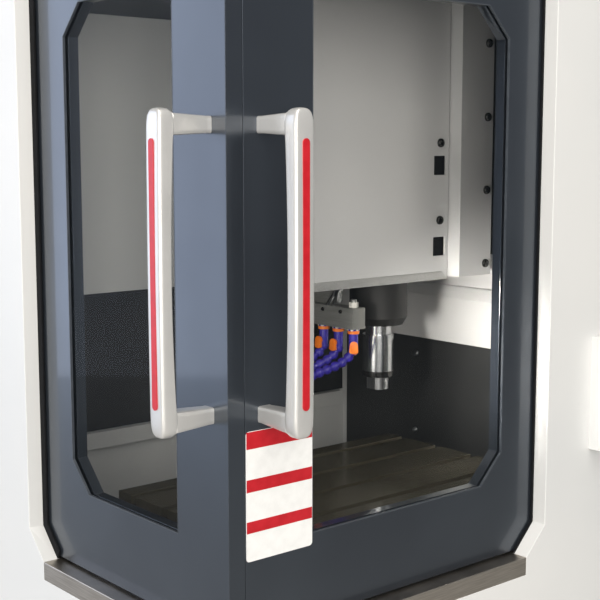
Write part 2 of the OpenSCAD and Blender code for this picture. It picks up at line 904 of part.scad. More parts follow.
module z_screw() {
    l = x_plate_z1 + motor_bore_l / 2 - z_low_support;
    back_l = l - (z_high_support - z_low_support) + slide_gap;
    color(steel) in_corner() translate([z_mid_x, z_screw_y, z_low_support]) rotate([90, 0, 0])
        ball_screw(l, support_l + slide_gap, back_l);
}

module z_motor() {
    color(black) in_corner() translate([z_mid_x, z_screw_y, x_plate_z1]) rotate([90, 0, 0])
        axis_motor();
}

// Upright slide with the bored clamp for the spindle
module z_slide() {
    color(cast_grey) in_corner() difference() {
        union() {
            slab(cover_x + sheet_t, cover_x + cover_w - sheet_t, z_slide_y0, z_slide_y1,
                z_slide_z0, z_slide_z1);
            slab(spindle_x - clamp_w / 2, spindle_x + clamp_w / 2,
                spindle_y - spindle_d / 2 - clamp_wall, z_slide_y0 + over, clamp_z0, clamp_z1);
        }
        rod_z(spindle_x, spindle_y, clamp_z0 - over, clamp_z1 + over, spindle_d + 2 * run_gap);
    }
}

// Folded head cover: front, both sides, a top and a hem, with ports near its right edge
module head_cover() {
    x1 = cover_x + cover_w;
    color(white) in_corner() difference() {
        union() {
            slab(cover_x, x1, cover_y, cover_y + sheet_t, cover_z, cover_z1);
            slab(cover_x, cover_x + sheet_t, cover_y, z_slide_y1, cover_z, cover_z1);
            slab(x1 - sheet_t, x1, cover_y, z_slide_y1, cover_z, cover_z1);
            slab(cover_x, x1, cover_y, z_slide_y0, cover_z1 - sheet_t, cover_z1);
            slab(cover_x, x1, cover_y, cover_y + hem, cover_z, cover_z + sheet_t);
        }
        for (rise = [port_rise_low, port_rise_high])
            translate([x1 - port_in - port_w / 2, cover_y - over, cover_z + rise - port_h / 2])
                cube([port_w, sheet_t + 2 * over, port_h]);
    }
}

// Spindle body with its tapered lower end
module spindle_housing() {
    color(black) in_corner() translate([spindle_x, spindle_y, 0]) difference() {
        union() {
            rod_z(0, 0, housing_z0 + cone_h, housing_z1, spindle_d);
            translate([0, 0, housing_z0]) cylinder(d1 = cone_d, d2 = spindle_d, h = cone_h);
        }
        rod_z(0, 0, housing_z0 - over, housing_z0 + shaft_l + over, shaft_d + 2 * run_gap);
    }
}

// Turned nose: neck, polished cylinder and the shaft that runs in the spindle body
module spindle_nose() {
    color(steel) in_corner() translate([spindle_x, spindle_y, 0]) difference() {
        union() {
            rod_z(0, 0, nose_z, nose_z + nose_h, nose_d);
            rod_z(0, 0, nose_z + nose_h, housing_z0 - slide_gap, neck_d);
            rod_z(0, 0, housing_z0 - over, housing_z0 + shaft_l, shaft_d);
        }
        rod_z(0, 0, nose_z - over, nose_z + bore_deep, collet_bore_d + 2 * slide_gap);
    }
}

// Collet nut with two spanner flats and the bore for the cutter
module collet_nut() {
    color(steel) in_corner() translate([spindle_x, spindle_y, 0]) difference() {
        intersection() {
            rod_z(0, 0, nose_z - nut_h, nose_z, nut_d);
            slab(-nut_flat / 2, nut_flat / 2, -nut_d, nut_d, nose_z - nut_h, nose_z);
        }
        rod_z(0, 0, nose_z - nut_h - over, nose_z + over, collet_bore_d);
    }
}

// Coolant block on its hanger plate, with the supply stub
module coolant_manifold() {
    mid_x = manifold_x + manifold_w / 2;
    color(steel) in_corner() {
        slab(manifold_x, manifold_x + manifold_w, manifold_y, manifold_y + manifold_l,
            manifold_z0, manifold_z1);
        slab(mid_x, mid_x + hanger_t, hanger_y, z_slide_y0, manifold_z1 - over,
            z_slide_z0 + hanger_rise);
        rod_z(mid_x, manifold_y + port_first, manifold_z1, manifold_z1 + fitting_h, fitting_d);
    }
}

// One link of a jointed hose: a ball with a tapered socket below it
module hose_link() {
    sphere(d = link_d);
    translate([0, 0, -link_pitch])
        cylinder(d1 = link_d * socket_share, d2 = link_d * neck_share, h = link_pitch);
}

// A run of links from link i on, each turned a little against the last, ending in a nozzle
module hose_run(i) {
    if (i < len(link_turns)) {
        rotate([0, link_turns[i], 0]) {
            hose_link();
            translate([0, 0, -link_pitch]) hose_run(i + 1);
        }
    } else {
        sphere(d = link_d);
        translate([0, 0, -tip_l]) cylinder(d1 = tip_d, d2 = link_d * neck_share, h = tip_l);
    }
}

// A jointed hose: collar, valve body and links. Hose 1 is the front one.
module coolant_hose(i) {
    color(violet) in_corner()
        translate([manifold_x + manifold_w / 2, manifold_y + port_first + (i - 1) * port_pitch,
            manifold_z0]) {
            rod_z(0, 0, -collar_h, 0, collar_d);
            rod_z(0, 0, -valve_l, -collar_h, valve_d);
            translate([0, 0, -valve_l - link_d / 4]) rotate([0, 0, -hose_leans[i - 1]])
                hose_run(0);
        }
}

// Valve lever on the side of a hose, turning about a level axis
module hose_valve(i) {
    color(orange) in_corner()
        translate([manifold_x + manifold_w / 2, manifold_y + port_first + (i - 1) * port_pitch,
            manifold_z0 - valve_drop])
            rotate([0, 0, valve_turns[i - 1]]) translate([-valve_d / 2 - slide_gap, 0, 0]) {
                rod_x(-lever_hub_l, 0, 0, 0, lever_hub_d);
                slab(-lever_hub_l, -lever_hub_l + lever_t, -lever_w / 2, lever_w / 2, -lever_l, 0);
            }
}

// Doors: a frame with a window, a groove that holds the glass behind the skin, and a tongue along
// its lower and upper edges
module left_door() {
    color(anthracite) in_corner() {
        difference() {
            slab(0, door_t, 0, left_far, door_z0, door_z1);
            side_plate(-over, door_t + 2 * over) polygon(window(left_window[0], left_window[1], 0));
            side_plate(lip_t, glass_t)
                polygon(window(left_window[0], left_window[1], rebate));
        }
        slab((door_t - tongue_t) / 2, (door_t + tongue_t) / 2, 2 * door_gap, left_far,
            door_z0 - tongue_h, door_z0);
        slab((door_t - tongue_t) / 2, (door_t + tongue_t) / 2, 2 * door_gap, left_far,
            door_z1, door_z1 + tongue_h);
    }
}

module front_door() {
    color(anthracite) in_corner() {
        difference() {
            slab(front_near, front_far, 0, door_t, door_z0, door_z1);
            front_plate(-over, door_t + 2 * over)
                polygon(window(front_window[0], front_window[1], 0));
            front_plate(lip_t, glass_t)
                polygon(window(front_window[0], front_window[1], rebate));
        }
        slab(front_near + door_gap, front_far, (door_t - tongue_t) / 2, (door_t + tongue_t) / 2,
            door_z0 - tongue_h, door_z0);
        slab(front_near + door_gap, front_far, (door_t - tongue_t) / 2, (door_t + tongue_t) / 2,
            door_z1, door_z1 + tongue_h);
    }
}

module left_glass() {
    color(smoke) in_corner() side_plate(lip_t, glass_t)
        polygon(window(left_window[0], left_window[1], rebate - slide_gap));
}

module front_glass() {
    color(smoke) in_corner() front_plate(lip_t, glass_t)
        polygon(window(front_window[0], front_window[1], rebate - slide_gap));
}

// Side outline of a pull: a bar with round ends on two legs, which taper towards the door and are
// filleted where they meet the bar
module pull_outline() {
    half = pull_l / 2;
    leg_in = (pull_pitch - pull_leg) / 2;
    leg_out = (pull_pitch + pull_leg) / 2;
    mid = -pull_reach + pull_bar / 2;
    fillet = pull_bar * fillet_share;
    translate([-pull_reach, -half + pull_bar / 2]) square([pull_bar, pull_l - pull_bar]);
    for (s = [-1, 1]) scale([1, s]) {
        translate([mid, half - pull_bar / 2]) circle(d = pull_bar);
        polygon([[mid, leg_in], [0, leg_in], [0, leg_out - leg_taper], [mid, leg_out]]);
        translate([-pull_reach + pull_bar, leg_in - fillet]) difference() {
            square([fillet, fillet + over]);
            translate([fillet, 0]) circle(r = fillet);
        }
    }
}

// Front outline of a pull: a strip with round ends
module pull_front() {
    run = (pull_l - pull_w) / 2;
    translate([-pull_w / 2, -run]) square([pull_w, 2 * run]);
    for (s = [-1, 1]) translate([0, s * run]) circle(d = pull_w);
}

// A pull on the face x = 0, standing out along -x, with a groove for its strip
module door_pull() {
    translate([0, 0, pull_z]) difference() {
        intersection() {
            translate([0, pull_w / 2, 0]) rotate([90, 0, 0]) linear_extrude(pull_w) pull_outline();
            translate([-pull_reach, 0, 0]) rotate([90, 0, 90]) linear_extrude(pull_reach)
                pull_front();
        }
        pull_strip(over, 0);
    }
}

// The strip on the bar's face: round ends, sunk by its own thickness
module pull_strip(proud, inset) {
    depth = pull_bar / 4;
    d = strip_w - 2 * inset;
    run = (strip_l - strip_w) / 2;
    translate([-pull_reach - proud, 0, 0]) {
        translate([0, -d / 2, -run]) cube([depth + proud, d, 2 * run]);
        for (s = [-1, 1]) rod_x(0, depth + proud, 0, s * run, d);
    }
}

module left_pull() {
    color(silver) in_corner() translate([0, left_pull_y, 0]) door_pull();
}

module left_strip() {
    color(red) in_corner() translate([0, left_pull_y, pull_z]) pull_strip(0, 0);
}

module front_pull() {
    color(silver) in_corner() translate([front_pull_x, 0, 0]) rotate([0, 0, 90]) door_pull();
}

module front_strip() {
    color(red) in_corner() translate([front_pull_x, 0, pull_z]) rotate([0, 0, 90])
        pull_strip(0, 0);
}

// Operator console: a shallow box on the front panel, with a guide for the stop button
module console() {
    y0 = out_y0 - console_out;
    color(white) in_corner() difference() {
        slab(console_x, console_x + console_w, y0, out_y0, console_z, console_z + console_h);
        slab(console_x + console_wall, console_x + console_w - console_wall, y0 + console_wall,
            out_y0 + over, console_z + console_wall, console_z + console_h - console_wall);
        rod_y(stop_x, y0 - over, out_y0 + over, stop_z, stop_stem_d + 2 * slide_gap);
    }
}

// Screen set in the front panel from behind
module screen() {
    color(black) in_corner() {
        slab(screen_x, screen_x + screen_w, out_y0, out_y0 + sheet_t, screen_z,
            screen_z + screen_h);
        slab(screen_x - bezel, screen_x + screen_w + bezel, out_y0 + sheet_t,
            out_y0 + sheet_t + screen_t, screen_z - bezel, screen_z + screen_h + bezel);
    }
}

// Mushroom stop button, pressed along y
module stop_button() {
    face = out_y0 - console_out - stop_lift;
    color(red) in_corner() translate([stop_x, face, stop_z]) rotate([-90, 0, 0])
        rotate_extrude() polygon([[0, -stop_cap], [stop_d / 2 - stop_cap / 2, -stop_cap],
            [stop_d / 2, -stop_cap / 2], [stop_d / 2, 0], [stop_stem_d / 2, 0],
            [stop_stem_d / 2, stop_stem_l], [0, stop_stem_l]]);
}

bed();
levelling_feet();
bridge();
left_panel();
front_panel();
right_panel();
rear_panel();
roof_panel();
sill();
door_tracks();
rear_splash();
rear_curtain();
side_liner();
side_guard();
side_shield();
beam_guard();
chip_tray();
y_rails();
x_rails();
screw_supports();
axis_motors();
console();
screen();
stop_button();
table_saddle();
work_table();
y_blocks();
y_nut();
y_screw();
x_saddle();
x_blocks();
x_nut();
x_screw();
z_rails();
z_supports();
z_motor();
side_shroud();
z_slide();
z_blocks();
z_nut();
z_screw();
spindle_housing();
head_cover();
coolant_manifold();
coolant_hose(1);  // coolant_hose_1
coolant_hose(2);  // coolant_hose_2
coolant_hose(3);  // coolant_hose_3
hose_valve(1);  // hose_valve_1
hose_valve(2);  // hose_valve_2
hose_valve(3);  // hose_valve_3
spindle_nose();
collet_nut();
left_door();
left_glass();
left_pull();
left_strip();
front_door();
front_glass();
front_pull();
front_strip();
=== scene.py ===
# %% [markdown]
# An enclosed engraving machine
# The solids of the machine come in as a fixed frame, and every one already has its size and place. This
# lesson gives them their finishes, adds the small hardware that a solid model leaves out, and sets the
# camera and the light.

# %% Load the frame
import math
from collections import namedtuple

import bmesh
import bpy
from mathutils import Matrix, Vector


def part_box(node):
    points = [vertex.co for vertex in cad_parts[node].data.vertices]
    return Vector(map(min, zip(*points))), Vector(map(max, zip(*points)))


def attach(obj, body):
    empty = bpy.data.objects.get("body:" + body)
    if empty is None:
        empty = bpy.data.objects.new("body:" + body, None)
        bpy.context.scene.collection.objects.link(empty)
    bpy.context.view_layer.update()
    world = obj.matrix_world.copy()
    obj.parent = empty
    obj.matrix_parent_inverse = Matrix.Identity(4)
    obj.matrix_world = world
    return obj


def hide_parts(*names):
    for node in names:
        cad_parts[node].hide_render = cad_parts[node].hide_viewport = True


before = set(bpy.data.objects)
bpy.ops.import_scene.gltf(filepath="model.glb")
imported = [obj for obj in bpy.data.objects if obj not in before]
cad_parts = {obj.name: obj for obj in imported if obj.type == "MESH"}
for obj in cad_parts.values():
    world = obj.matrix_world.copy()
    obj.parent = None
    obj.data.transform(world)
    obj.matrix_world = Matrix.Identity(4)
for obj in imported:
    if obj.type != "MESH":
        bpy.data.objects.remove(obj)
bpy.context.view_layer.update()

MM = 0.001
print("frame nodes:", len(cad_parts))

# %% [markdown]
# Where things are
# The two doors meet at the front left corner of the cabinet. The places below could be typed in the
# frame's own metres, but then each one would be worked out from its middle. Counted from that corner in
# millimetres, as on a maker's drawing, they stay readable. One function turns such a place to the frame,
# and another turns a point of the frame back.

# %% Corner frame
corner = Vector((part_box("left_door")[0][0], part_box("front_door")[0][1], 0.0))


def at(x, y, z):
    """A place counted from the door corner in millimetres, as a point of the frame in metres."""
    return corner + Vector((x, y, z)) * MM


def from_corner(point):
    """A point of the frame counted from the door corner in millimetres."""
    return (Vector(point) - corner) / MM


print("door corner:", tuple(round(value, 4) for value in corner))

# %% [markdown]
# The camera
# The camera stands at eye height and looks a little downwards onto the corner where the doors meet. A
# short lens from nearby would show both doors as well, but a long one from further off keeps the upright
# edges nearly parallel, as the eye expects of a cabinet.

# %% Camera
CAMERA_PLACE = (-749.25, -1003.5, 1420)
CAMERA_HEADING = 49.75
CAMERA_TILT = 7.2
LENS = 72.12
SENSOR = 36

camera_data = bpy.data.cameras.new("photo_camera")
camera_data.lens = LENS
camera_data.sensor_width = SENSOR
camera = bpy.data.objects.new("photo_camera", camera_data)
bpy.context.collection.objects.link(camera)
camera.location = at(*CAMERA_PLACE)
camera.rotation_euler = (math.radians(90 - CAMERA_TILT), 0, math.radians(CAMERA_HEADING - 90))
bpy.context.scene.camera = camera
print("camera at", tuple(round(value, 3) for value in camera.location))

# %% [markdown]
# Colours and nodes
# Colours are written as sRGB hex values, as a screen shows them, and the shader wants linear light, so
# one function converts them. Nodes could be added line by line in each material, which repeats the same
# steps, so a second small function adds any node with its values and links.

# %% Colour and node helpers


def linear(code):
    """A hex colour such as E6E6E5 as linear red, green, blue and alpha, by the sRGB curve."""
    channels = [int(code[i:i + 2], 16) / 255 for i in (0, 2, 4)]
    return [c / 12.92 if c <= 0.04045 else ((c + 0.055) / 1.055) ** 2.4 for c in channels] + [1.0]


def add(tree, kind, values=None, links=None):
    """Adds a node with its fixed sockets and its linked sockets."""
    made = tree.nodes.new(kind)
    for name, value in (values or {}).items():
        made.inputs[name].default_value = value
    for name, source in (links or {}).items():
        tree.links.new(source, made.inputs[name])
    return made


print("mid grey in linear light:", round(linear("808080")[0], 3))

# %% [markdown]
# How a finish is made
# No real surface is one flat colour. Paint lies in clouds, metal keeps the marks of its tool, and
# plastic shows how it flowed into the mould. Pictures of a surface could be wrapped round each piece,
# but noise has no seams and keeps its size on every piece. So a finish is one shader whose colour,
# roughness and relief follow noise. Each noise has a size in millimetres, and is stretched along an axis
# where a tool left its marks.

# %% Finish
Grain = namedtuple("Grain", "size_mm stretch detail", defaults=((1, 1, 1), 3.0))
RAMP_EDGES = (0.35, 0.65)


def finish(name, colours, grain, rough=None, rough_grain=None, relief=None, relief_grain=None, **sockets):
    """A material with fixed sockets, whose colour, roughness and relief follow noise.

    The relief is a height in millimetres and a strength.
    """
    material = bpy.data.materials.new(name)
    material.use_nodes = True
    tree = material.node_tree
    tree.nodes.clear()
    shader = add(tree, "ShaderNodeBsdfPrincipled",
                 values={socket.replace("_", " "): value for socket, value in sockets.items()})
    add(tree, "ShaderNodeOutputMaterial", links={"Surface": shader.outputs["BSDF"]})
    place = add(tree, "ShaderNodeTexCoord").outputs["Object"]
    noise = {}
    for wanted in dict.fromkeys((grain, rough_grain or grain, relief_grain or grain)):
        drawn = add(tree, "ShaderNodeMapping", values={"Scale": wanted.stretch}, links={"Vector": place})
        noise[wanted] = add(tree, "ShaderNodeTexNoise",
                            values={"Scale": 1 / (wanted.size_mm * MM), "Detail": wanted.detail},
                            links={"Vector": drawn.outputs["Vector"]}).outputs["Fac"]
    ramp = add(tree, "ShaderNodeValToRGB", links={"Fac": noise[grain]})
    for stop, edge, code in zip(ramp.color_ramp.elements, RAMP_EDGES, colours):
        stop.position = edge
        stop.color = linear(code)
    tree.links.new(ramp.outputs["Color"], shader.inputs["Base Color"])
    if rough:
        span = add(tree, "ShaderNodeMapRange", values={"To Min": rough[0], "To Max": rough[1]},
                   links={"Value": noise[rough_grain or grain]})
        tree.links.new(span.outputs["Result"], shader.inputs["Roughness"])
    if relief:
        bump = add(tree, "ShaderNodeBump", values={"Distance": relief[0] * MM, "Strength": relief[1]},
                   links={"Height": noise[relief_grain or grain]})
        tree.links.new(bump.outputs["Normal"], shader.inputs["Normal"])
    return material


print("noise scale of a 2 mm grain:", 1 / (Grain(2).size_mm * MM))

# %% [markdown]
# Painted finishes
# The cabinet is powder coated sheet steel: a satin white with a faint orange peel. The doors carry a
# darker gloss coat, and the guards inside a satin black one. The castings have a thicker grey paint that
# still shows the sand of the mould. A coat peels in waves of about two millimetres. On the doors and the
# inner sheets these are too fine to show, so there they are drawn 14 millimetres wide. The grain of the
# sand is finer still, and is drawn 2.5 millimetres wide.

# %% Paints
PEEL = Grain(14)

# Satin white powder coat: broad soft highlights and an orange peel of about two millimetres.
WHITE = finish("white_powder_coat", ("D9DADA", "E0E0DF"), Grain(400), relief=(0.05, 0.25),
               relief_grain=Grain(2.2), Roughness=0.42, IOR=1.5)
# Anthracite lacquer with metal flakes: the flakes mirror the room softly under a clear coat.
ANTHRACITE = finish("anthracite_flake_lacquer", ("40464F", "495059"), Grain(300), (0.26, 0.34), Grain(40),
                    (0.03, 0.1), PEEL, Metallic=0.75, Coat_Weight=0.6, Coat_Roughness=0.06)
# Satin black paint on the guards, with dust that dulls it in patches.
BLACK = finish("black_satin_coat", ("2A2B2B", "343535"), Grain(120), (0.42, 0.58), Grain(60),
               (0.02, 0.08), PEEL, IOR=1.5)
# Deep black paint on the spindle housing: nearly matt, and darker than the guards' black as painted
# shade for the shade it hangs in under the head's cover.
HOUSING = finish("black_paint_and_painted_shade", ("191919", "222221"), Grain(60), (0.5, 0.62), Grain(30), IOR=1.45)
# Grey powder coat on the sheets behind the table: satin, with runs left by coolant. The grey is partly
# their own and partly painted shade: a darker copy of the cabinet's white for the back of the chamber.
GREY = finish("grey_coat_with_painted_shade", ("CFD1CF", "D9DBD9"), Grain(180, (1, 1, 0.4), 5.0), (0.4, 0.55),
              Grain(70), (0.02, 0.08), PEEL, IOR=1.5)
# Grey machine paint over cast iron: satin, with the grain of the sand mould under it.
CASTING = finish("painted_casting", ("6E7173", "7A7D7F"), Grain(90), relief=(0.25, 0.5),
                 relief_grain=Grain(2.5, detail=5.0), Roughness=0.5, IOR=1.5)
PAINTS = [WHITE, ANTHRACITE, BLACK, HOUSING, GREY, CASTING]
print("paints:", [paint.name for paint in PAINTS])

# %% [markdown]
# Bare metals
# Each metal is told from the next by how it was worked: the sill is brushed along its length, the rails
# and screws are ground, the spindle nose is polished, the table is ground iron under a dark film of oil,
# and the pulls are castings with a pale enamel. One steel with one roughness would make them all alike.
# Brush, wheel and turning marks are finer than a tenth of a millimetre, too fine to show, so they are
# drawn one to two millimetres wide and long along the tool's way.

# %% Metals
# Brushed stainless steel: long fine scratches that stretch the highlight across them.
STAINLESS = finish("brushed_stainless", ("AEA69C", "C3BBB1"), Grain(1.2, (0.03, 0.03, 1)), (0.28, 0.42),
                   relief=(0.02, 0.3), Metallic=1.0)
# Ground steel of rails, carriages and screws: even, grey and fairly bright.
GROUND = finish("ground_steel", ("9A9B9D", "AEAFB1"), Grain(2, (1, 1, 0.1)), (0.25, 0.36), Metallic=1.0)
# Polished steel of the spindle nose: bright, with faint turning rings that soften what it mirrors.
POLISHED = finish("polished_steel", ("C6C8CA", "D6D8DA"), Grain(1.5, (0.05, 0.05, 1)), (0.17, 0.25),
                  Metallic=1.0)
# Ground iron under a film of oil: brown grey, smooth and nearly a mirror, duller where the oil is wiped.
TABLE_IRON = finish("oiled_iron_table", ("686250", "757060"), Grain(70, detail=4.0), (0.1, 0.24),
                    Metallic=0.55)
# Anodised aluminium, pale on the cover's hem, where its grey under the white sheet is painted shade, and
# darker on the coolant block: dull, with cutter lines.
CUTTER_LINES = Grain(1.5, (1, 0.05, 1))
ANODISED = finish("anodised_aluminium", ("C2C3C1", "D2D3D1"), CUTTER_LINES, (0.38, 0.5), Metallic=0.5)
BLOCK = finish("hard_anodised_block", ("8E8F8C", "9C9D9A"), CUTTER_LINES, (0.38, 0.5), Metallic=0.5)
# Pearl stove enamel on the cast pulls: pale, smooth and satin, worn a little where hands close.
PEARL = finish("pearl_enamel", ("CBCAC8", "D5D4D2"), Grain(60, detail=4.0), (0.3, 0.4), Grain(25),
               Metallic=0.5, IOR=1.5, Coat_Weight=0.4, Coat_Roughness=0.15)
# Blackened steel of socket screws and the nose ring: dark, oiled and bright at the edges.
OXIDE = finish("black_oxide_steel", ("333332", "454443"), Grain(4), (0.14, 0.24), Metallic=0.8)
# Zinc plated screw heads: a dull bright grey.
ZINC = finish("zinc_plated_steel", ("8E9092", "B0B2B4"), Grain(3), (0.25, 0.4), Metallic=1.0)
METALS = [STAINLESS, GROUND, POLISHED, TABLE_IRON, ANODISED, BLOCK, PEARL, OXIDE, ZINC]
print("metals:", [metal.name for metal in METALS])

# %% [markdown]
# Plastics, rubber and glass
# The jointed hoses are acetal in a deep violet with orange valves, the strip in each pull is a red
# vinyl, the seals are rubber and silicone, and the windows are laminated safety glass with a slight
# smoke tint. Glass could be made to bend the light, but lamps would then hardly reach the chamber. A
# pane is thin and flat, so it is drawn as a partly clear gloss surface that lets the light through.

# %% Plastics and glass
FLOW = Grain(12, detail=4.0)
GLOSS_SPAN = 0.1


def moulded(name, low, high, rough, ior=1.48):
    """Moulded plastic: an even colour with a slight gloss and a trace of flow marks."""
    return finish(name, (low, high), FLOW, (rough, rough + GLOSS_SPAN), IOR=ior)


# Acetal from a polished mould: deep and glossy on the hoses, a little duller on the valves that hands turn.
VIOLET = moulded("violet_acetal", "352B96", "4136AC", 0.18)
ORANGE = moulded("orange_acetal", "F97A16", "FF8A28", 0.35)
# Vinyl sheet and natural nylon: flat even colours with a soft sheen.
RED = moulded("red_vinyl", "B51420", "C01C28", 0.3)
VINYL = moulded("white_vinyl", "E9E9E8", "F0F0EF", 0.35)
NATURAL = moulded("natural_nylon", "DEDCD4", "E8E6E0", 0.4)
# Foamed rubber is matt and full of pores, so it mirrors less than a solid plastic would.
RUBBER = moulded("black_rubber", "0E0F11", "15161A", 0.75, 1.28)
# Silicone is smooth where the finger drew it, so its bead has a narrow bright line.
SILICONE = moulded("grey_silicone", "3C4148", "474C53", 0.3)
# Glass over a dark screen: nearly black, with clear reflections.
SCREEN = moulded("screen_glass", "0A0B0D", "101216", 0.08)
# Flat safety glass: almost clear, mirror smooth and a little grey.
GLASS = finish("smoked_safety_glass", ("2A3036", "2A3036"), Grain(250), (0.02, 0.05), Grain(60),
               IOR=1.52, Alpha=0.07, Specular_IOR_Level=0.35)
PLASTICS = [VIOLET, ORANGE, RED, VINYL, NATURAL, RUBBER, SILICONE, SCREEN, GLASS]
print("plastics and glass:", [plastic.name for plastic in PLASTICS])

# %% [markdown]
# Dressing the solids
# A solid keeps its own form. Its slots get the new finish, and where the real piece has eased edges, a
# weld joins the loose triangles and a narrow bevel rounds the sharp ones, so that edges catch the light.
# The edges could be cut into each mesh, but modifiers ease them all at once and leave the solid as it
# is. Each row below gives a finish, the width of the eased edge in millimetres, and the solids.

# %% Finishes for the solids
DRESS = [
    (WHITE, 0.8, "left_panel front_panel right_panel rear_panel roof_panel side_liner chip_tray console "
     "head_cover side_shroud"),
    # The rear sheets' grey is partly painted shade.
    (GREY, 0.8, "rear_splash beam_guard"),
    (ANTHRACITE, 0.5, "left_door front_door"),
    (BLACK, 0.6, "rear_curtain side_guard side_shield axis_motors z_motor"),
    (BLACK, 0, "levelling_feet"),
    # The housing's black is darkened further as painted shade.
    (HOUSING, 0, "spindle_housing"),
    (CASTING, 2.0, "bed bridge table_saddle x_saddle z_slide screw_supports z_supports"),
    (STAINLESS, 0.8, "sill door_tracks"),
    (GROUND, 0.6, "y_rails x_rails z_rails y_blocks x_blocks z_blocks y_nut x_nut z_nut"),
    (GROUND, 0, "y_screw x_screw z_screw collet_nut"),
    (POLISHED, 0, "spindle_nose"),
    (TABLE_IRON, 0.3, "work_table"),
    (PEARL, 0, "left_pull front_pull"),
    (BLOCK, 0.6, "coolant_manifold"),
    (VIOLET, 0, "coolant_hose_1 coolant_hose_2 coolant_hose_3"),
    (ORANGE, 0, "hose_valve_1 hose_valve_2 hose_valve_3"),
    (RED, 0, "left_strip front_strip stop_button"),
    (GLASS, 0, "left_glass front_glass"),
    (SCREEN, 0.6, "screen"),
]
JOIN_REACH = 0.00001
SHARP_EDGE = 40


def dress(name, material, edge_mm):
    """Gives a solid its finish and eases its sharp edges."""
    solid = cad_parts[name]
    solid.data.materials.clear()
    solid.data.materials.append(material)
    if edge_mm:
        weld = solid.modifiers.new("joined", "WELD")
        weld.merge_threshold = JOIN_REACH
        bevel = solid.modifiers.new("eased_edges", "BEVEL")
        bevel.width = edge_mm * MM
        bevel.segments = 2
        bevel.limit_method = "ANGLE"
        bevel.angle_limit = math.radians(SHARP_EDGE)
        bevel.use_clamp_overlap = True


for material, edge_mm, names in DRESS:
    for name in names.split():
        dress(name, material, edge_mm)
print("dressed", sum(len(names.split()) for _, _, names in DRESS), "solids")

# %% [markdown]
# New pieces
# Every new piece is shaped in a bmesh. Its object could be moved into place, but here the place is in
# the mesh, as it is in the solids, so that a pattern stays where it is on the piece. One function does
# the last steps: it recalculates the normals, gives the finish and lets the piece ride on a body. Two
# more are used by many pieces: one picks the points out of an operator's result, and one gives flat
# faces a thickness.

# %% Finishing a piece
SMOOTH_EDGE = 35
TINY = 0.000001


def piece(name, shape, material, body, smooth=True):
    """Turns a bmesh into an object of the machine that rides on a body."""
    bmesh.ops.recalc_face_normals(shape, faces=shape.faces)
    mesh = bpy.data.meshes.new(name)
    shape.to_mesh(mesh)
    shape.free()
    mesh.materials.append(material)
    made = bpy.data.objects.new(name, mesh)
    bpy.context.collection.objects.link(made)
    if smooth:
        mesh.shade_smooth()
        mesh.set_sharp_from_angle(angle=math.radians(SMOOTH_EDGE))
    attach(made, body)
    print("made", name, "with", len(mesh.polygons), "faces")
    return made


def points(geom):
    """The vertices among an operator's results."""
    return [item for item in geom if isinstance(item, bmesh.types.BMVert)]


def thicken(shape, faces, vec):
    """Gives flat faces a thickness along a vector."""
    grown = bmesh.ops.extrude_face_region(shape, geom=faces)["geom"]
    bmesh.ops.translate(shape, verts=points(grown), vec=vec)


print("edges under", SMOOTH_EDGE, "degrees are shaded smooth")

# %% [markdown]
# Button head screws
# The sheet metal is held by button head screws with a socket. A head could be spun from a profile, but a
# short cylinder that is bevelled at its rim needs fewer numbers, and its flat top can be inset and
# pushed in for the socket. One head is made and then copied along the row.

# %% Screw heads
HEAD_SIDES = 24
DOME_SHARE = 0.7
SOCKET_RIM = 0.12
SOCKET_WALL = 0.02
SOCKET_SHARE = 0.5


def screw_head(axis, width_mm, height_mm):
    """One screw head that stands at the origin along an axis."""
    shape = bmesh.new()
    width, height = width_mm * MM, height_mm * MM
    bmesh.ops.create_cone(shape, cap_ends=True, segments=HEAD_SIDES, radius1=width / 2, radius2=width / 2,
                          depth=height)
    bmesh.ops.translate(shape, verts=shape.verts, vec=(0, 0, height / 2))
    top_edges = [edge for edge in shape.edges if all(end.co.z > height / 2 for end in edge.verts)]
    bmesh.ops.bevel(shape, geom=top_edges, offset=height * DOME_SHARE, affect="EDGES", segments=3,
                    profile=0.5, material=-1)
    shape.normal_update()
    top = max(shape.faces, key=lambda face: (face.calc_center_median().z, face.calc_area()))
    bmesh.ops.inset_region(shape, faces=[top], thickness=width * SOCKET_RIM, depth=0)
    bmesh.ops.inset_region(shape, faces=[top], thickness=width * SOCKET_WALL, depth=-height * SOCKET_SHARE)
    to_axis = Vector(axis).to_track_quat("Z", "Y").to_matrix()
    bmesh.ops.rotate(shape, verts=shape.verts, cent=(0, 0, 0), matrix=to_axis)
    return shape


def screw_row(name, places, axis, body, width_mm=11, height_mm=4, material=ZINC):
    """One piece of several screw heads on the same face."""
    shape = screw_head(axis, width_mm, height_mm)
    first = shape.verts[:] + shape.edges[:] + shape.faces[:]
    for place in places[1:]:
        copied = bmesh.ops.duplicate(shape, geom=first)["geom"]
        bmesh.ops.translate(shape, verts=points(copied), vec=at(*place))
    bmesh.ops.translate(shape, verts=points(first), vec=at(*places[0]))
    return piece(name, shape, material, body)


print("a screw head has", HEAD_SIDES, "sides")

# %% [markdown]
# Screws inside the chamber
# Black screws hold the head's cover and the shroud beside it, and plated ones the guard and the shield
# on the right wall. Their faces could be typed as numbers, but they are read from the solids, so the
# heads stand on the sheet wherever it is.

# %% Chamber screws
FACING_FRONT = (0, -1, 0)
FACING_LEFT = (-1, 0, 0)
BLACK_HEAD = (13.5, 5, OXIDE)
COVER_SCREW_IN = 19
COVER_SCREW_Z = (1311, 1428)
SHROUD_SCREW_IN = 13
SHROUD_SCREW_Z = (1242, 1356, 1467.5, 1579)
GUARD_SCREW_Y = 434
GUARD_SCREW_Z = (932, 1068)
SHIELD_SCREW_Y = 300
SHIELD_SCREW_Z = (1270, 1380, 1490)

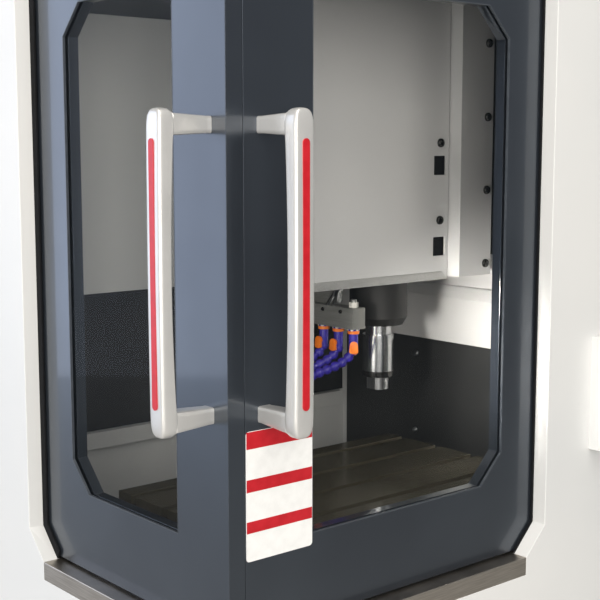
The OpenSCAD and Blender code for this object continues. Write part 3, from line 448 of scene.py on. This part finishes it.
cover_low, cover_high = [from_corner(point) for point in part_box("head_cover")]
shroud_low, shroud_high = [from_corner(point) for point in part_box("side_shroud")]
guard_face = from_corner(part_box("side_guard")[0]).x
shield_face = from_corner(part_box("side_shield")[0]).x
screw_row("cover_screws", [(cover_high.x - COVER_SCREW_IN, cover_low.y, z) for z in COVER_SCREW_Z],
          FACING_FRONT, "head", *BLACK_HEAD)
screw_row("shroud_screws", [(shroud_high.x - SHROUD_SCREW_IN, shroud_low.y, z) for z in SHROUD_SCREW_Z],
          FACING_FRONT, "cross_slide", *BLACK_HEAD)
screw_row("guard_screws", [(guard_face, GUARD_SCREW_Y, z) for z in GUARD_SCREW_Z], FACING_LEFT, "machine")
screw_row("shield_screws", [(shield_face, SHIELD_SCREW_Y, z) for z in SHIELD_SCREW_Z], FACING_LEFT,
          "machine")

# %% [markdown]
# Hem of the head's cover
# The cover's lower edge is closed by a narrow strip of bare aluminium, cut at a slant at the corner. The
# strip is drawn a shade greyer than the sheet as painted shade for the darker band along the edge. It
# could be a thin box, but a small section drawn out along the edge gives the rounded fold in one step,
# and a plane cuts off its end.

# %% Cover hem
HEM_SECTION = [(0, 0), (-1.6, 0), (-1.6, 11.8), (-1.2, 12.4), (0, 12.6)]
HEM_SHORT = 1

hem = bmesh.new()
section = hem.faces.new([hem.verts.new(at(cover_low.x, cover_low.y + y, cover_low.z + z))
                         for y, z in HEM_SECTION])
thicken(hem, [section], ((cover_high.x - cover_low.x) * MM, 0, 0))
cut_end = bmesh.ops.bisect_plane(hem, geom=hem.verts[:] + hem.edges[:] + hem.faces[:], dist=TINY,
                                 plane_co=at(cover_high.x - HEM_SHORT, cover_low.y, cover_low.z),
                                 plane_no=(1, 0, 1), clear_outer=True)["geom_cut"]
bmesh.ops.holes_fill(hem, edges=[item for item in cut_end if isinstance(item, bmesh.types.BMEdge)])
piece("cover_hem", hem, ANODISED, "head", smooth=False)

# %% [markdown]
# Painted shade behind the cover's slots
# Black pads close the two slots of the cover from behind, as painted shade: they stand in for the dark
# inside of the cover that shows through the slots. A plain sheet would look like paint, so the middle of
# each is pressed in: one face is inset, its middle is moved back, and all is thickened.

# %% Slot pads of painted shade
SLOT_X = (583, 614)
SLOT_Z = [(1253, 1289), (1376, 1412)]
SLOT_DEEP = 3.2
PAD_RIM = 2.5
PAD_T = 1.5


def rectangle(shape, xs, y, zs):
    """Adds an upright rectangle that faces the front, as one face."""
    return shape.faces.new([shape.verts.new(at(x, y, z)) for x, z in
                            ((xs[0], zs[0]), (xs[1], zs[0]), (xs[1], zs[1]), (xs[0], zs[1]))])


# Dark pads as painted shade: they darken the slots, where the inside of the cover lies in shade.
slot_shade = bmesh.new()
for heights in SLOT_Z:
    face = rectangle(slot_shade, SLOT_X, cover_low.y + SLOT_DEEP, heights)
    face.normal_update()
    bmesh.ops.inset_region(slot_shade, faces=[face], thickness=PAD_RIM * MM, use_boundary=True)
    bmesh.ops.translate(slot_shade, verts=face.verts[:], vec=(0, PAD_T * MM, 0))
thicken(slot_shade, slot_shade.faces[:], (0, PAD_T * MM, 0))
piece("slot_painted_shade", slot_shade, RUBBER, "head", smooth=False)

# %% [markdown]
# The door pulls
# Each pull is cast in one piece: a bar with a domed front and round ends, thinner in the middle, on two
# legs that narrow towards the door. It could be joined from cylinders, but hard seams would stay where
# they meet. So a cage is cut from a box, the legs are drawn out of its back, and a subdivision surface
# rounds it as the mould did. It takes the place of the plainer solid.

# %% Bar of a pull
PULL_HALF = 172.6
PULL_OUT = 69.7
PULL_W = 27
BAR_T = 19
BAR_MIDDLE = PULL_OUT - BAR_T / 2
BAR_BACK = PULL_OUT - BAR_T
BAR_LOOPS = [-167, -144, -128, -64, 0, 64, 128, 144, 167]
# Each row: reach of the edges, radius and segments.
ROUNDINGS = [(PULL_OUT, 4.5, 2), (BAR_BACK, 1, 1)]
LEG_Z = (144, 167)
CAP_SHARE = (0.6, 0.36)
CAP_START = 0.999
BAR_THIN = 3.5
PULL_BOW = 1.2
NEAR = 0.01


def pull_bar(shape):
    """Adds the cage of the bar, with its reach along x, its width along y and its height along z."""
    bmesh.ops.create_cube(shape, size=1)
    bmesh.ops.scale(shape, verts=shape.verts, vec=(BAR_T, PULL_W, 2 * PULL_HALF))
    bmesh.ops.translate(shape, verts=shape.verts, vec=(BAR_MIDDLE, 0, 0))
    for reach, offset, segments in ROUNDINGS:
        upright = [edge for edge in shape.edges if edge.calc_length() > PULL_HALF
                   and all(abs(vert.co.x - reach) < NEAR for vert in edge.verts)
                   and all(abs(abs(vert.co.y) - PULL_W / 2) < NEAR for vert in edge.verts)]
        bmesh.ops.bevel(shape, geom=upright, offset=offset, affect="EDGES", segments=segments, profile=0.5,
                        material=-1)
    for height in BAR_LOOPS:
        bmesh.ops.bisect_plane(shape, geom=shape.verts[:] + shape.edges[:] + shape.faces[:], dist=NEAR,
                               plane_co=(0, 0, height), plane_no=(0, 0, 1))
    for vert in shape.verts:
        share = vert.co.z / PULL_HALF
        if abs(share) > CAP_START:
            vert.co.x = BAR_MIDDLE + (vert.co.x - BAR_MIDDLE) * CAP_SHARE[0]
            vert.co.y *= CAP_SHARE[1]
        elif vert.co.x < BAR_MIDDLE:
            vert.co.x += BAR_THIN * max(0, 1 - (vert.co.z / LEG_Z[0]) ** 2)
        vert.co.x -= PULL_BOW * share ** 2


print("pull reaches", PULL_OUT, "mm from the door")

# %% [markdown]
# Legs of the pulls
# The face of the bar's back where a leg starts is extruded three times, to narrower sections. Left to
# itself, the subdivision would shrink each one and lift the foot off the door. A crease along the leg
# holds the sections, and a full one round the foot keeps it flat on the door.

# %% Legs and pulls
# Each row: reach, width and height of a section.
LEG_STEPS = [(43, 24.5, 22.5), (5, 19, 18.5), (0, 19, 18.5)]
LEG_MIDDLE = sum(LEG_Z) / 2
LEG_CREASE = 0.45
LEG_FIND = 2
FACING_BACK = -0.95
CAST_LEVELS = 3
PULL_Z = 1289
LEFT_PULL_Y = 34
FRONT_PULL_X = 50


def pull_leg(shape, crease, side):
    """Draws a leg out of the bar's back, above the middle for side 1 and below it for side -1."""
    shape.normal_update()
    middle = side * LEG_MIDDLE
    root = [face for face in shape.faces if face.normal.x < FACING_BACK
            and abs(face.calc_center_median().z - middle) < LEG_FIND]
    for reach, width, height in LEG_STEPS:
        grown = bmesh.ops.extrude_face_region(shape, geom=root)["geom"]
        root = [item for item in grown if isinstance(item, bmesh.types.BMFace)]
        for edge in {edge for face in root for vert in face.verts for edge in vert.link_edges}:
            edge[crease] = 0.0 if any(edge in face.edges for face in root) else LEG_CREASE
        for vert in {vert for face in root for vert in face.verts}:
            vert.co.x = reach
            vert.co.y = math.copysign(width / 2, vert.co.y)
            vert.co.z = middle + math.copysign(height / 2, vert.co.z - middle)
    for edge in {edge for face in root for edge in face.edges}:
        edge[crease] = 1.0


def pull_grip(name, node, to_place, body):
    """A cast pull that is set on a door by a function of its reach, width and height."""
    shape = bmesh.new()
    pull_bar(shape)
    crease = shape.edges.layers.float.new("crease_edge")
    for side in (-1, 1):
        pull_leg(shape, crease, side)
    for vert in shape.verts:
        vert.co = to_place(*vert.co)
    made = piece(name, shape, PEARL, body)
    rounded = made.modifiers.new("cast_form", "SUBSURF")
    rounded.levels = rounded.render_levels = CAST_LEVELS
    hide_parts(node)


pull_grip("left_grip", "left_pull", lambda u, w, z: at(-u, LEFT_PULL_Y + w, PULL_Z + z), "left_leaf")
pull_grip("front_grip", "front_pull", lambda u, w, z: at(FRONT_PULL_X + w, -u, PULL_Z + z), "front_leaf")

# %% [markdown]
# Beads of the windows
# A thin bead of grey silicone holds each window: it stands on the glass, fills the gap and laps over the
# edge of the frame. A curve swept along the window would pinch at the cut corners, so the outline is
# drawn as one face, which is inset to one even width and thickened.

# %% Window beads
BEAD_W = 1.5
BEAD_LAP = 0.4
BEAD_T = 3.2
GLASS_DEEP = 3
WINDOW_Z = (985, 1595)
WINDOW_CUT = 39
LEFT_WINDOW = (96, 333)
FRONT_WINDOW = (118.5, 446)


def cut_outline(near, far, low, high, cut):
    """An outline of run and height that is square at the closing edge and cut at its far corners."""
    return [(near, low), (far - cut, low), (far, low + cut), (far, high - cut), (far - cut, high),
            (near, high)]


def rim(outline, to_place, width_mm):
    """A flat rim of the given width inside an outline."""
    shape = bmesh.new()
    face = shape.faces.new([shape.verts.new(to_place(run, z)) for run, z in outline])
    face.normal_update()
    made = bmesh.ops.inset_region(shape, faces=[face], thickness=width_mm * MM, use_boundary=True)["faces"]
    bmesh.ops.delete(shape, geom=[face], context="FACES_ONLY")
    return shape, made


def window_bead(name, window, to_place, outwards, body):
    """A bead along a window, from the glass to a little proud of the frame."""
    near, far = window
    low, high = WINDOW_Z
    cut = WINDOW_CUT + BEAD_LAP * (2 - math.sqrt(2))
    outline = cut_outline(near - BEAD_LAP, far + BEAD_LAP, low - BEAD_LAP, high + BEAD_LAP, cut)
    shape, faces = rim(outline, to_place, BEAD_W)
    thicken(shape, faces, Vector(outwards) * BEAD_T * MM)
    piece(name, shape, SILICONE, body, smooth=False)


window_bead("left_bead", LEFT_WINDOW, lambda run, z: at(GLASS_DEEP, run, z), FACING_LEFT, "left_leaf")
window_bead("front_bead", FRONT_WINDOW, lambda run, z: at(run, GLASS_DEEP, z), FACING_FRONT, "front_leaf")

# %% [markdown]
# Seals of the doorways
# A rubber seal lies along the jamb, the head and the cut corners of each doorway, close before the door.
# It is partly a real seal and partly painted shade: the dark rubber is drawn wider than a seal, most of
# all at the left doorway, for the shadow in the gap along the jamb.
# The gap lets the door slide past it with what it carries. It could be drawn strip by strip, but the
# inset rim of the windows already has clean corners, so it is used again with two sides left off.

# %% Jamb seals
# Each width matches the dark band at its jamb, partly a seal and partly painted shade for the gap's shadow.
LEFT_SEAL_W = 12
FRONT_SEAL_W = 3
SEAL_T = 2.2
SEAL_GAP = 1.5
SEAL_START = 2
DOORWAY_Z = (882, 1690)
DOORWAY_CUT = 37
LEFT_JAMB = 410
FRONT_JAMB = 510


def jamb_seal(name, far, width_mm, to_place, outwards):
    """A seal along the far side of a doorway: the sides at the corner and on the sill are left off."""
    low, high = DOORWAY_Z
    shape, faces = rim(cut_outline(SEAL_START, far, low, high, DOORWAY_CUT), to_place, width_mm)
    edge = to_place(SEAL_START + width_mm, low + width_mm)
    spare = [face for face in faces if face.calc_center_median().z < edge.z
             or (face.calc_center_median() - edge).xy.dot(to_place(far, low).xy - edge.xy) < 0]
    bmesh.ops.delete(shape, geom=spare, context="FACES")
    thicken(shape, shape.faces[:], Vector(outwards) * SEAL_T * MM)
    piece(name, shape, RUBBER, "machine", smooth=False)


jamb_seal("left_seal", LEFT_JAMB, LEFT_SEAL_W, lambda run, z: at(-SEAL_GAP, run, z), FACING_LEFT)
jamb_seal("front_seal", FRONT_JAMB, FRONT_SEAL_W, lambda run, z: at(run, -SEAL_GAP, z), FACING_FRONT)

# %% [markdown]
# The plate on the front door
# A vinyl plate sits low on the front door, beside its closing edge: a pale field with rounded corners
# and three plain red bands. The bands could be colours in one material, but thin sheets on the plate
# keep a clean edge from near and far.

# %% Door plate
PLATE_X = (23.5, 118)
PLATE_Z = (971, 1116.5)
PLATE_T = 0.6
PLATE_ROUND = 4
BANDS = [(1097, 1116), (1049, 1063), (1003, 1016)]
BAND_IN = 0.5
BAND_T = 0.2

plate = bmesh.new()
rectangle(plate, PLATE_X, 0, PLATE_Z)
bmesh.ops.bevel(plate, geom=plate.verts[:], offset=PLATE_ROUND * MM, affect="VERTICES", segments=5,
                profile=0.5, material=-1)
thicken(plate, plate.faces[:], Vector(FACING_FRONT) * PLATE_T * MM)
piece("door_plate", plate, VINYL, "front_leaf", smooth=False)

bands = bmesh.new()
for heights in BANDS:
    rectangle(bands, (PLATE_X[0] + BAND_IN, PLATE_X[1] - BAND_IN), -PLATE_T, heights)
thicken(bands, bands.faces[:], Vector(FACING_FRONT) * BAND_T * MM)
piece("door_plate_bands", bands, RED, "front_leaf", smooth=False)

# %% [markdown]
# Glands of the hoses
# Each hose hangs from a pale six-sided gland with an orange ring under the aluminium block, and a pale
# fitting feeds the block from above. A nut could be cut from a bar by a boolean, but a six-sided
# cylinder with eased edges is as good at this size. A ring is a small profile that is spun round its
# axis.

# %% Glands, fitting and block screws
PORTS = [285, 318, 351]
PORT_X = 445
BLOCK_Z = 1156
BLOCK_TOP = 1187
BLOCK_FACE = 433
GLAND_R = 9.5
GLAND_H = 3
FITTING_R = 7.5
FITTING_H = 8
EASED = 0.6
RING_PROFILE = [(0, -3), (8.4, -3), (8.9, -3.5), (8.9, -7.2), (8.4, -7.8), (0, -7.8)]
BLOCK_SCREW_Y = (300.5, 339.5)
BLOCK_SCREW_Z = 1180.5
SMALL_HEAD = (6, 2.4, OXIDE)
SPIN_STEPS = 48


def hexagon(shape, place, radius_mm, height_mm):
    """Adds a six-sided nut with eased edges that stands on a place."""
    made = bmesh.ops.create_cone(shape, cap_ends=True, segments=6, radius1=radius_mm * MM,
                                 radius2=radius_mm * MM, depth=height_mm * MM)["verts"]
    bmesh.ops.translate(shape, verts=made, vec=Vector(place) + Vector((0, 0, height_mm * MM / 2)))
    edges = {edge for vert in made for edge in vert.link_edges}
    bmesh.ops.bevel(shape, geom=list(edges), offset=EASED * MM, affect="EDGES", segments=2, profile=0.5,
                    material=-1)


def spun(profile, axes, shape):
    """Adds a profile of radius and height in millimetres, spun round the upright axis of a set of axes."""
    verts = [shape.verts.new(axes @ Vector((radius * MM, 0, height * MM))) for radius, height in profile]
    edges = [shape.edges.new(pair) for pair in zip(verts, verts[1:])]
    bmesh.ops.spin(shape, geom=verts + edges, axis=axes.to_3x3() @ Vector((0, 0, 1)), cent=axes.translation,
                   angle=math.tau, steps=SPIN_STEPS, use_merge=True)


pale = bmesh.new()
rings = bmesh.new()
for y in PORTS:
    hexagon(pale, at(PORT_X, y, BLOCK_Z - GLAND_H), GLAND_R, GLAND_H)
    spun(RING_PROFILE, Matrix.Translation(at(PORT_X, y, BLOCK_Z)), rings)
hexagon(pale, at(PORT_X, PORTS[0], BLOCK_TOP), FITTING_R, FITTING_H)
bmesh.ops.remove_doubles(rings, verts=rings.verts, dist=TINY)
piece("pale_glands", pale, NATURAL, "head")
piece("gland_rings", rings, ORANGE, "head")
screw_row("block_screws", [(BLOCK_FACE, y, BLOCK_SCREW_Z) for y in BLOCK_SCREW_Y], FACING_LEFT, "head",
          *SMALL_HEAD)

# %% [markdown]
# Levers of the valves
# A lever on each valve is a disc whose lower half is drawn out to a paddle, on a short neck. A disc and
# a bar could be joined, but one outline stays smooth where they meet. It takes the place of the plain
# solid lever and turns with it. The first valve is turned in its gland, so its lever looks aside.

# %% Valve levers
VALVE_Z = 1132
VALVE_R = 7
VALVE_TURNS = [50, 0, 0]
LEVER_R = 6
LEVER_SIDES = 32
LEVER_DROP = 6.5
LEVER_FLARE = 1.15
LEVER_FLAT = 0.6
LEVER_T = 4
LEVER_OFF = 2.2
LEVER_EASED = 0.7
PADDLE_START = -0.5
NECK_R = 5
NECK_SIDES = 24
NECK_LAP = 0.6
LEVEL = 0.1


def lever_form():
    """The lever at the origin: its paddle hangs along -y, and its face looks along z."""
    shape = bmesh.new()
    disc = bmesh.ops.create_circle(shape, cap_ends=True, segments=LEVER_SIDES,
                                   radius=LEVER_R * MM)["verts"]
    paddle = [vert for vert in disc if vert.co.y < PADDLE_START * MM]
    bmesh.ops.scale(shape, verts=paddle, vec=(LEVER_FLARE, LEVER_FLAT, 1))
    drop = LEVER_DROP + (1 - LEVER_FLAT) * LEVER_R
    bmesh.ops.translate(shape, verts=paddle, vec=(0, -drop * MM, 0))
    thicken(shape, shape.faces[:], (0, 0, LEVER_T * MM))
    bmesh.ops.recalc_face_normals(shape, faces=shape.faces)
    rims = [edge for edge in shape.edges if abs(edge.verts[0].co.z - edge.verts[1].co.z) < LEVEL * MM]
    bmesh.ops.bevel(shape, geom=rims, offset=LEVER_EASED * MM, affect="EDGES", segments=2, profile=0.5,
                    material=-1)
    bmesh.ops.translate(shape, verts=shape.verts, vec=(0, 0, LEVER_OFF * MM))
    neck = bmesh.ops.create_cone(shape, cap_ends=True, segments=NECK_SIDES, radius1=NECK_R * MM,
                                 radius2=NECK_R * MM, depth=LEVER_OFF * MM)["verts"]
    bmesh.ops.translate(shape, verts=neck, vec=(0, 0, (LEVER_OFF + NECK_LAP) / 2 * MM))
    return shape


for number, (y, turn) in enumerate(zip(PORTS, VALVE_TURNS), 1):
    lever = lever_form()
    angle = math.radians(turn)
    out = Vector((-math.cos(angle), -math.sin(angle), 0))
    axes = Matrix((Vector((0, 0, 1)).cross(out), (0, 0, 1), out)).transposed().to_4x4()
    place = at(PORT_X, y, VALVE_Z) + out * VALVE_R * MM
    bmesh.ops.transform(lever, verts=lever.verts, matrix=Matrix.Translation(place) @ axes)
    made = piece(f"valve_lever_{number}", lever, ORANGE, f"lever_{number}")
    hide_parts(f"hose_valve_{number}")

# %% [markdown]
# Links of the hoses
# A jointed hose is a chain of ball links, and each link bulges over the ball of the next. A bent tube
# would be quicker, but on the real hose every link points its own way and catches the light by itself.
# The solid has the chain, and here every link gets its bulge: one small profile, spun round the link's
# own axis. The chain is followed link by link, as a hand would bend it.

# %% Hose links
VALVE_L = 33.25
LINK_PITCH = 12.5
LINK_TURNS = [35, 15, 10, 6, 0, 0, 0]
HOSE_LEANS = [50, 40, 30]
LINK_BULGE = [(5, -4.6), (6.5, -4.0), (7.2, -1.8), (7.3, 0.6), (6.9, 2.8), (6.1, 4.4), (5, 4.8), (5, -4.6)]

for number, (y, lean) in enumerate(zip(PORTS, HOSE_LEANS), 1):
    links = bmesh.new()
    start = Matrix.Translation(at(PORT_X, y, BLOCK_Z - VALVE_L))
    axes = start @ Matrix.Rotation(math.radians(-lean), 4, "Z")
    for turn in LINK_TURNS:
        axes = axes @ Matrix.Rotation(math.radians(turn), 4, "Y")
        spun(LINK_BULGE, axes, links)
        axes = axes @ Matrix.Translation((0, 0, -LINK_PITCH * MM))
    bmesh.ops.remove_doubles(links, verts=links.verts, dist=TINY)
    piece(f"hose_links_{number}", links, VIOLET, "head")

# %% [markdown]
# The block's bracket
# A gusset of bent strip carries the coolant block in front of its hanger: an upright plate with a cut
# corner, and a diagonal brace beside it. The strip could be bent fold by fold, but its outline is what
# shows, so each part is drawn as one flat face, thickened and eased.

# %% Block bracket
BRACKET_Y = 330
BRACKET_T = 4
BRACKET_PLATE = [(443, 1188), (456, 1187), (461, 1192), (461, 1224), (450, 1224), (443, 1206)]
BRACKET_BRACE = [(428, 1188), (434, 1187.5), (452, 1206), (458, 1224), (452, 1224), (447, 1209)]

bracket = bmesh.new()
for outline in (BRACKET_PLATE, BRACKET_BRACE):
    face = bracket.faces.new([bracket.verts.new(at(x, BRACKET_Y, z)) for x, z in outline])
    thicken(bracket, [face], Vector(FACING_FRONT) * BRACKET_T * MM)
bmesh.ops.recalc_face_normals(bracket, faces=bracket.faces)
bmesh.ops.bevel(bracket, geom=bracket.edges[:], offset=EASED * MM, affect="EDGES", segments=2, profile=0.5,
                material=-1)
piece("block_bracket", bracket, ZINC, "head")

# %% [markdown]
# The nose ring
# The polished nose ends in a blackened ring over the collet nut. A torus would be too round for it: the
# ring has flat faces and narrow eased edges, so a small closed profile is spun round the spindle's axis.

# %% Nose ring
SPINDLE = (539, 330)
NOSE_Z = 1068
NOSE_PROFILE = [(23, 0.2), (24.3, 0.2), (24.6, 0.6), (24.6, 8.6), (24.2, 9), (23, 9), (23, 0.2)]

ring = bmesh.new()
spun(NOSE_PROFILE, Matrix.Translation(at(*SPINDLE, NOSE_Z)), ring)
bmesh.ops.remove_doubles(ring, verts=ring.verts, dist=TINY)
piece("nose_ring", ring, OXIDE, "rotor")

# %% [markdown]
# Console keys
# The operator's console carries two rows of blank keys. An array modifier could repeat one key, but
# boxes in one mesh can be eased all together. They are set out in a grid and let half a millimetre into
# the console.

# %% Keys
KEY = (26, 4, 18)
KEY_PITCH = (36, 34)
KEY_COUNT = (6, 2)
KEY_IN = 34
KEY_SUNK = 0.5
KEY_EASED = 1.2

console_low, console_high = [from_corner(point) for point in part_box("console")]
key_x = console_low.x + KEY_IN + KEY[0] / 2
key_y = console_low.y - KEY[1] / 2 + KEY_SUNK
key_z = (console_low.z + console_high.z - KEY_PITCH[1]) / 2
keys = bmesh.new()
for column in range(KEY_COUNT[0]):
    for row in range(KEY_COUNT[1]):
        place = at(key_x + column * KEY_PITCH[0], key_y, key_z + row * KEY_PITCH[1])
        bmesh.ops.create_cube(keys, size=MM, matrix=Matrix.Translation(place) @ Matrix.Diagonal((*KEY, 1)))
bmesh.ops.bevel(keys, geom=keys.edges[:], offset=KEY_EASED * MM, affect="EDGES", segments=3, profile=0.5,
                material=-1)
piece("console_keys", keys, RUBBER, "machine")

# %% [markdown]
# Panel screws
# The rear and right panels are held by smaller screws near their upright edges. They are the same heads as
# in the chamber, and their faces and edges are again read from the solids.

# %% Outer screws
SCREW_IN = 22
SCREW_Z = [180, 600, 1020, 1440, 1860]
PANEL_HEAD = (10, 3)

rear_low, rear_high = [from_corner(point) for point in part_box("rear_panel")]
right_low, right_high = [from_corner(point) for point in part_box("right_panel")]
screw_row("rear_screws", [(x, rear_high.y, z) for x in (rear_low.x + SCREW_IN, rear_high.x - SCREW_IN)
                          for z in SCREW_Z], (0, 1, 0), "machine", *PANEL_HEAD)
screw_row("right_screws", [(right_high.x, y, z) for y in (right_low.y + SCREW_IN, right_high.y - SCREW_IN)
                           for z in SCREW_Z], (1, 0, 0), "machine", *PANEL_HEAD)

# %% [markdown]
# The floor
# A pale matt floor carries the machine: one large flat sheet, which shows the machine's shadow. It is part
# of the stage, not of the machine, and so it is left out of the model.

# %% Floor
FLOOR_SIZE = 14

floor_shape = bmesh.new()
bmesh.ops.create_grid(floor_shape, x_segments=1, y_segments=1, size=FLOOR_SIZE)
floor_mesh = bpy.data.meshes.new("studio_floor")
floor_shape.to_mesh(floor_mesh)
floor_shape.free()
# Painted concrete: pale, matt and slightly clouded.
floor_mesh.materials.append(finish("pale_floor", ("B9B9B7", "C1C1BF"), Grain(900), Roughness=0.7))
floor = bpy.data.objects.new("studio_floor", floor_mesh)
bpy.context.collection.objects.link(floor)
print("floor of", 2 * FLOOR_SIZE, "m")

# %% [markdown]
# Light
# One hard lamp would leave the chamber black. Broad lamps from above and from the left give the soft
# light of a bright workshop and reach into the chamber through both windows, and a small lamp in the
# corner of the chamber lights its right wall. The world adds a dim, slightly blue fill.

# %% Lamps
MIDDLE = (0, 0, 1.1)
DAYLIGHT = "DCE8FF"
LAMPLIGHT = "FFFAF2"
FILL = "E4E7EB"
FILL_STRENGTH = 0.35
# Each row: name, place, target, size in metres, watts, colour, spread in degrees.
LAMPS = [
    ("ceiling_lamp", (-1.2, -1.6, 4.2), MIDDLE, 3.5, 110, LAMPLIGHT, 180),
    ("eye_lamp", (-2.2, -3.6, 1.9), at(450, 350, 1150), 2.2, 94, LAMPLIGHT, 180),
    ("left_lamp", (-4.0, -1.3, 1.3), at(700, 200, 1150), 2.2, 52, LAMPLIGHT, 180),
    ("window_lamp", (-4.0, 4.4, 1.7), MIDDLE, 4.5, 138, DAYLIGHT, 180),
    ("chamber_lamp", at(45, 45, 1180), at(712, 150, 1110), 0.06, 0.78, LAMPLIGHT, 44),
]

for name, place, target, size, watts, code, spread_deg in LAMPS:
    data = bpy.data.lights.new(name, "AREA")
    data.size = size
    data.energy = watts
    data.color = linear(code)[:3]
    data.spread = math.radians(spread_deg)
    lamp = bpy.data.objects.new(name, data)
    bpy.context.collection.objects.link(lamp)
    lamp.location = place
    lamp.rotation_euler = (Vector(target) - Vector(place)).to_track_quat("-Z", "Y").to_euler()
    lamp.visible_camera = False

world = bpy.data.worlds.new("studio")
bpy.context.scene.world = world
world.use_nodes = True
world.node_tree.nodes["Background"].inputs["Color"].default_value = linear(FILL)
world.node_tree.nodes["Background"].inputs["Strength"].default_value = FILL_STRENGTH
bpy.context.scene.view_settings.view_transform = "Standard"
print("lamps:", len(LAMPS))
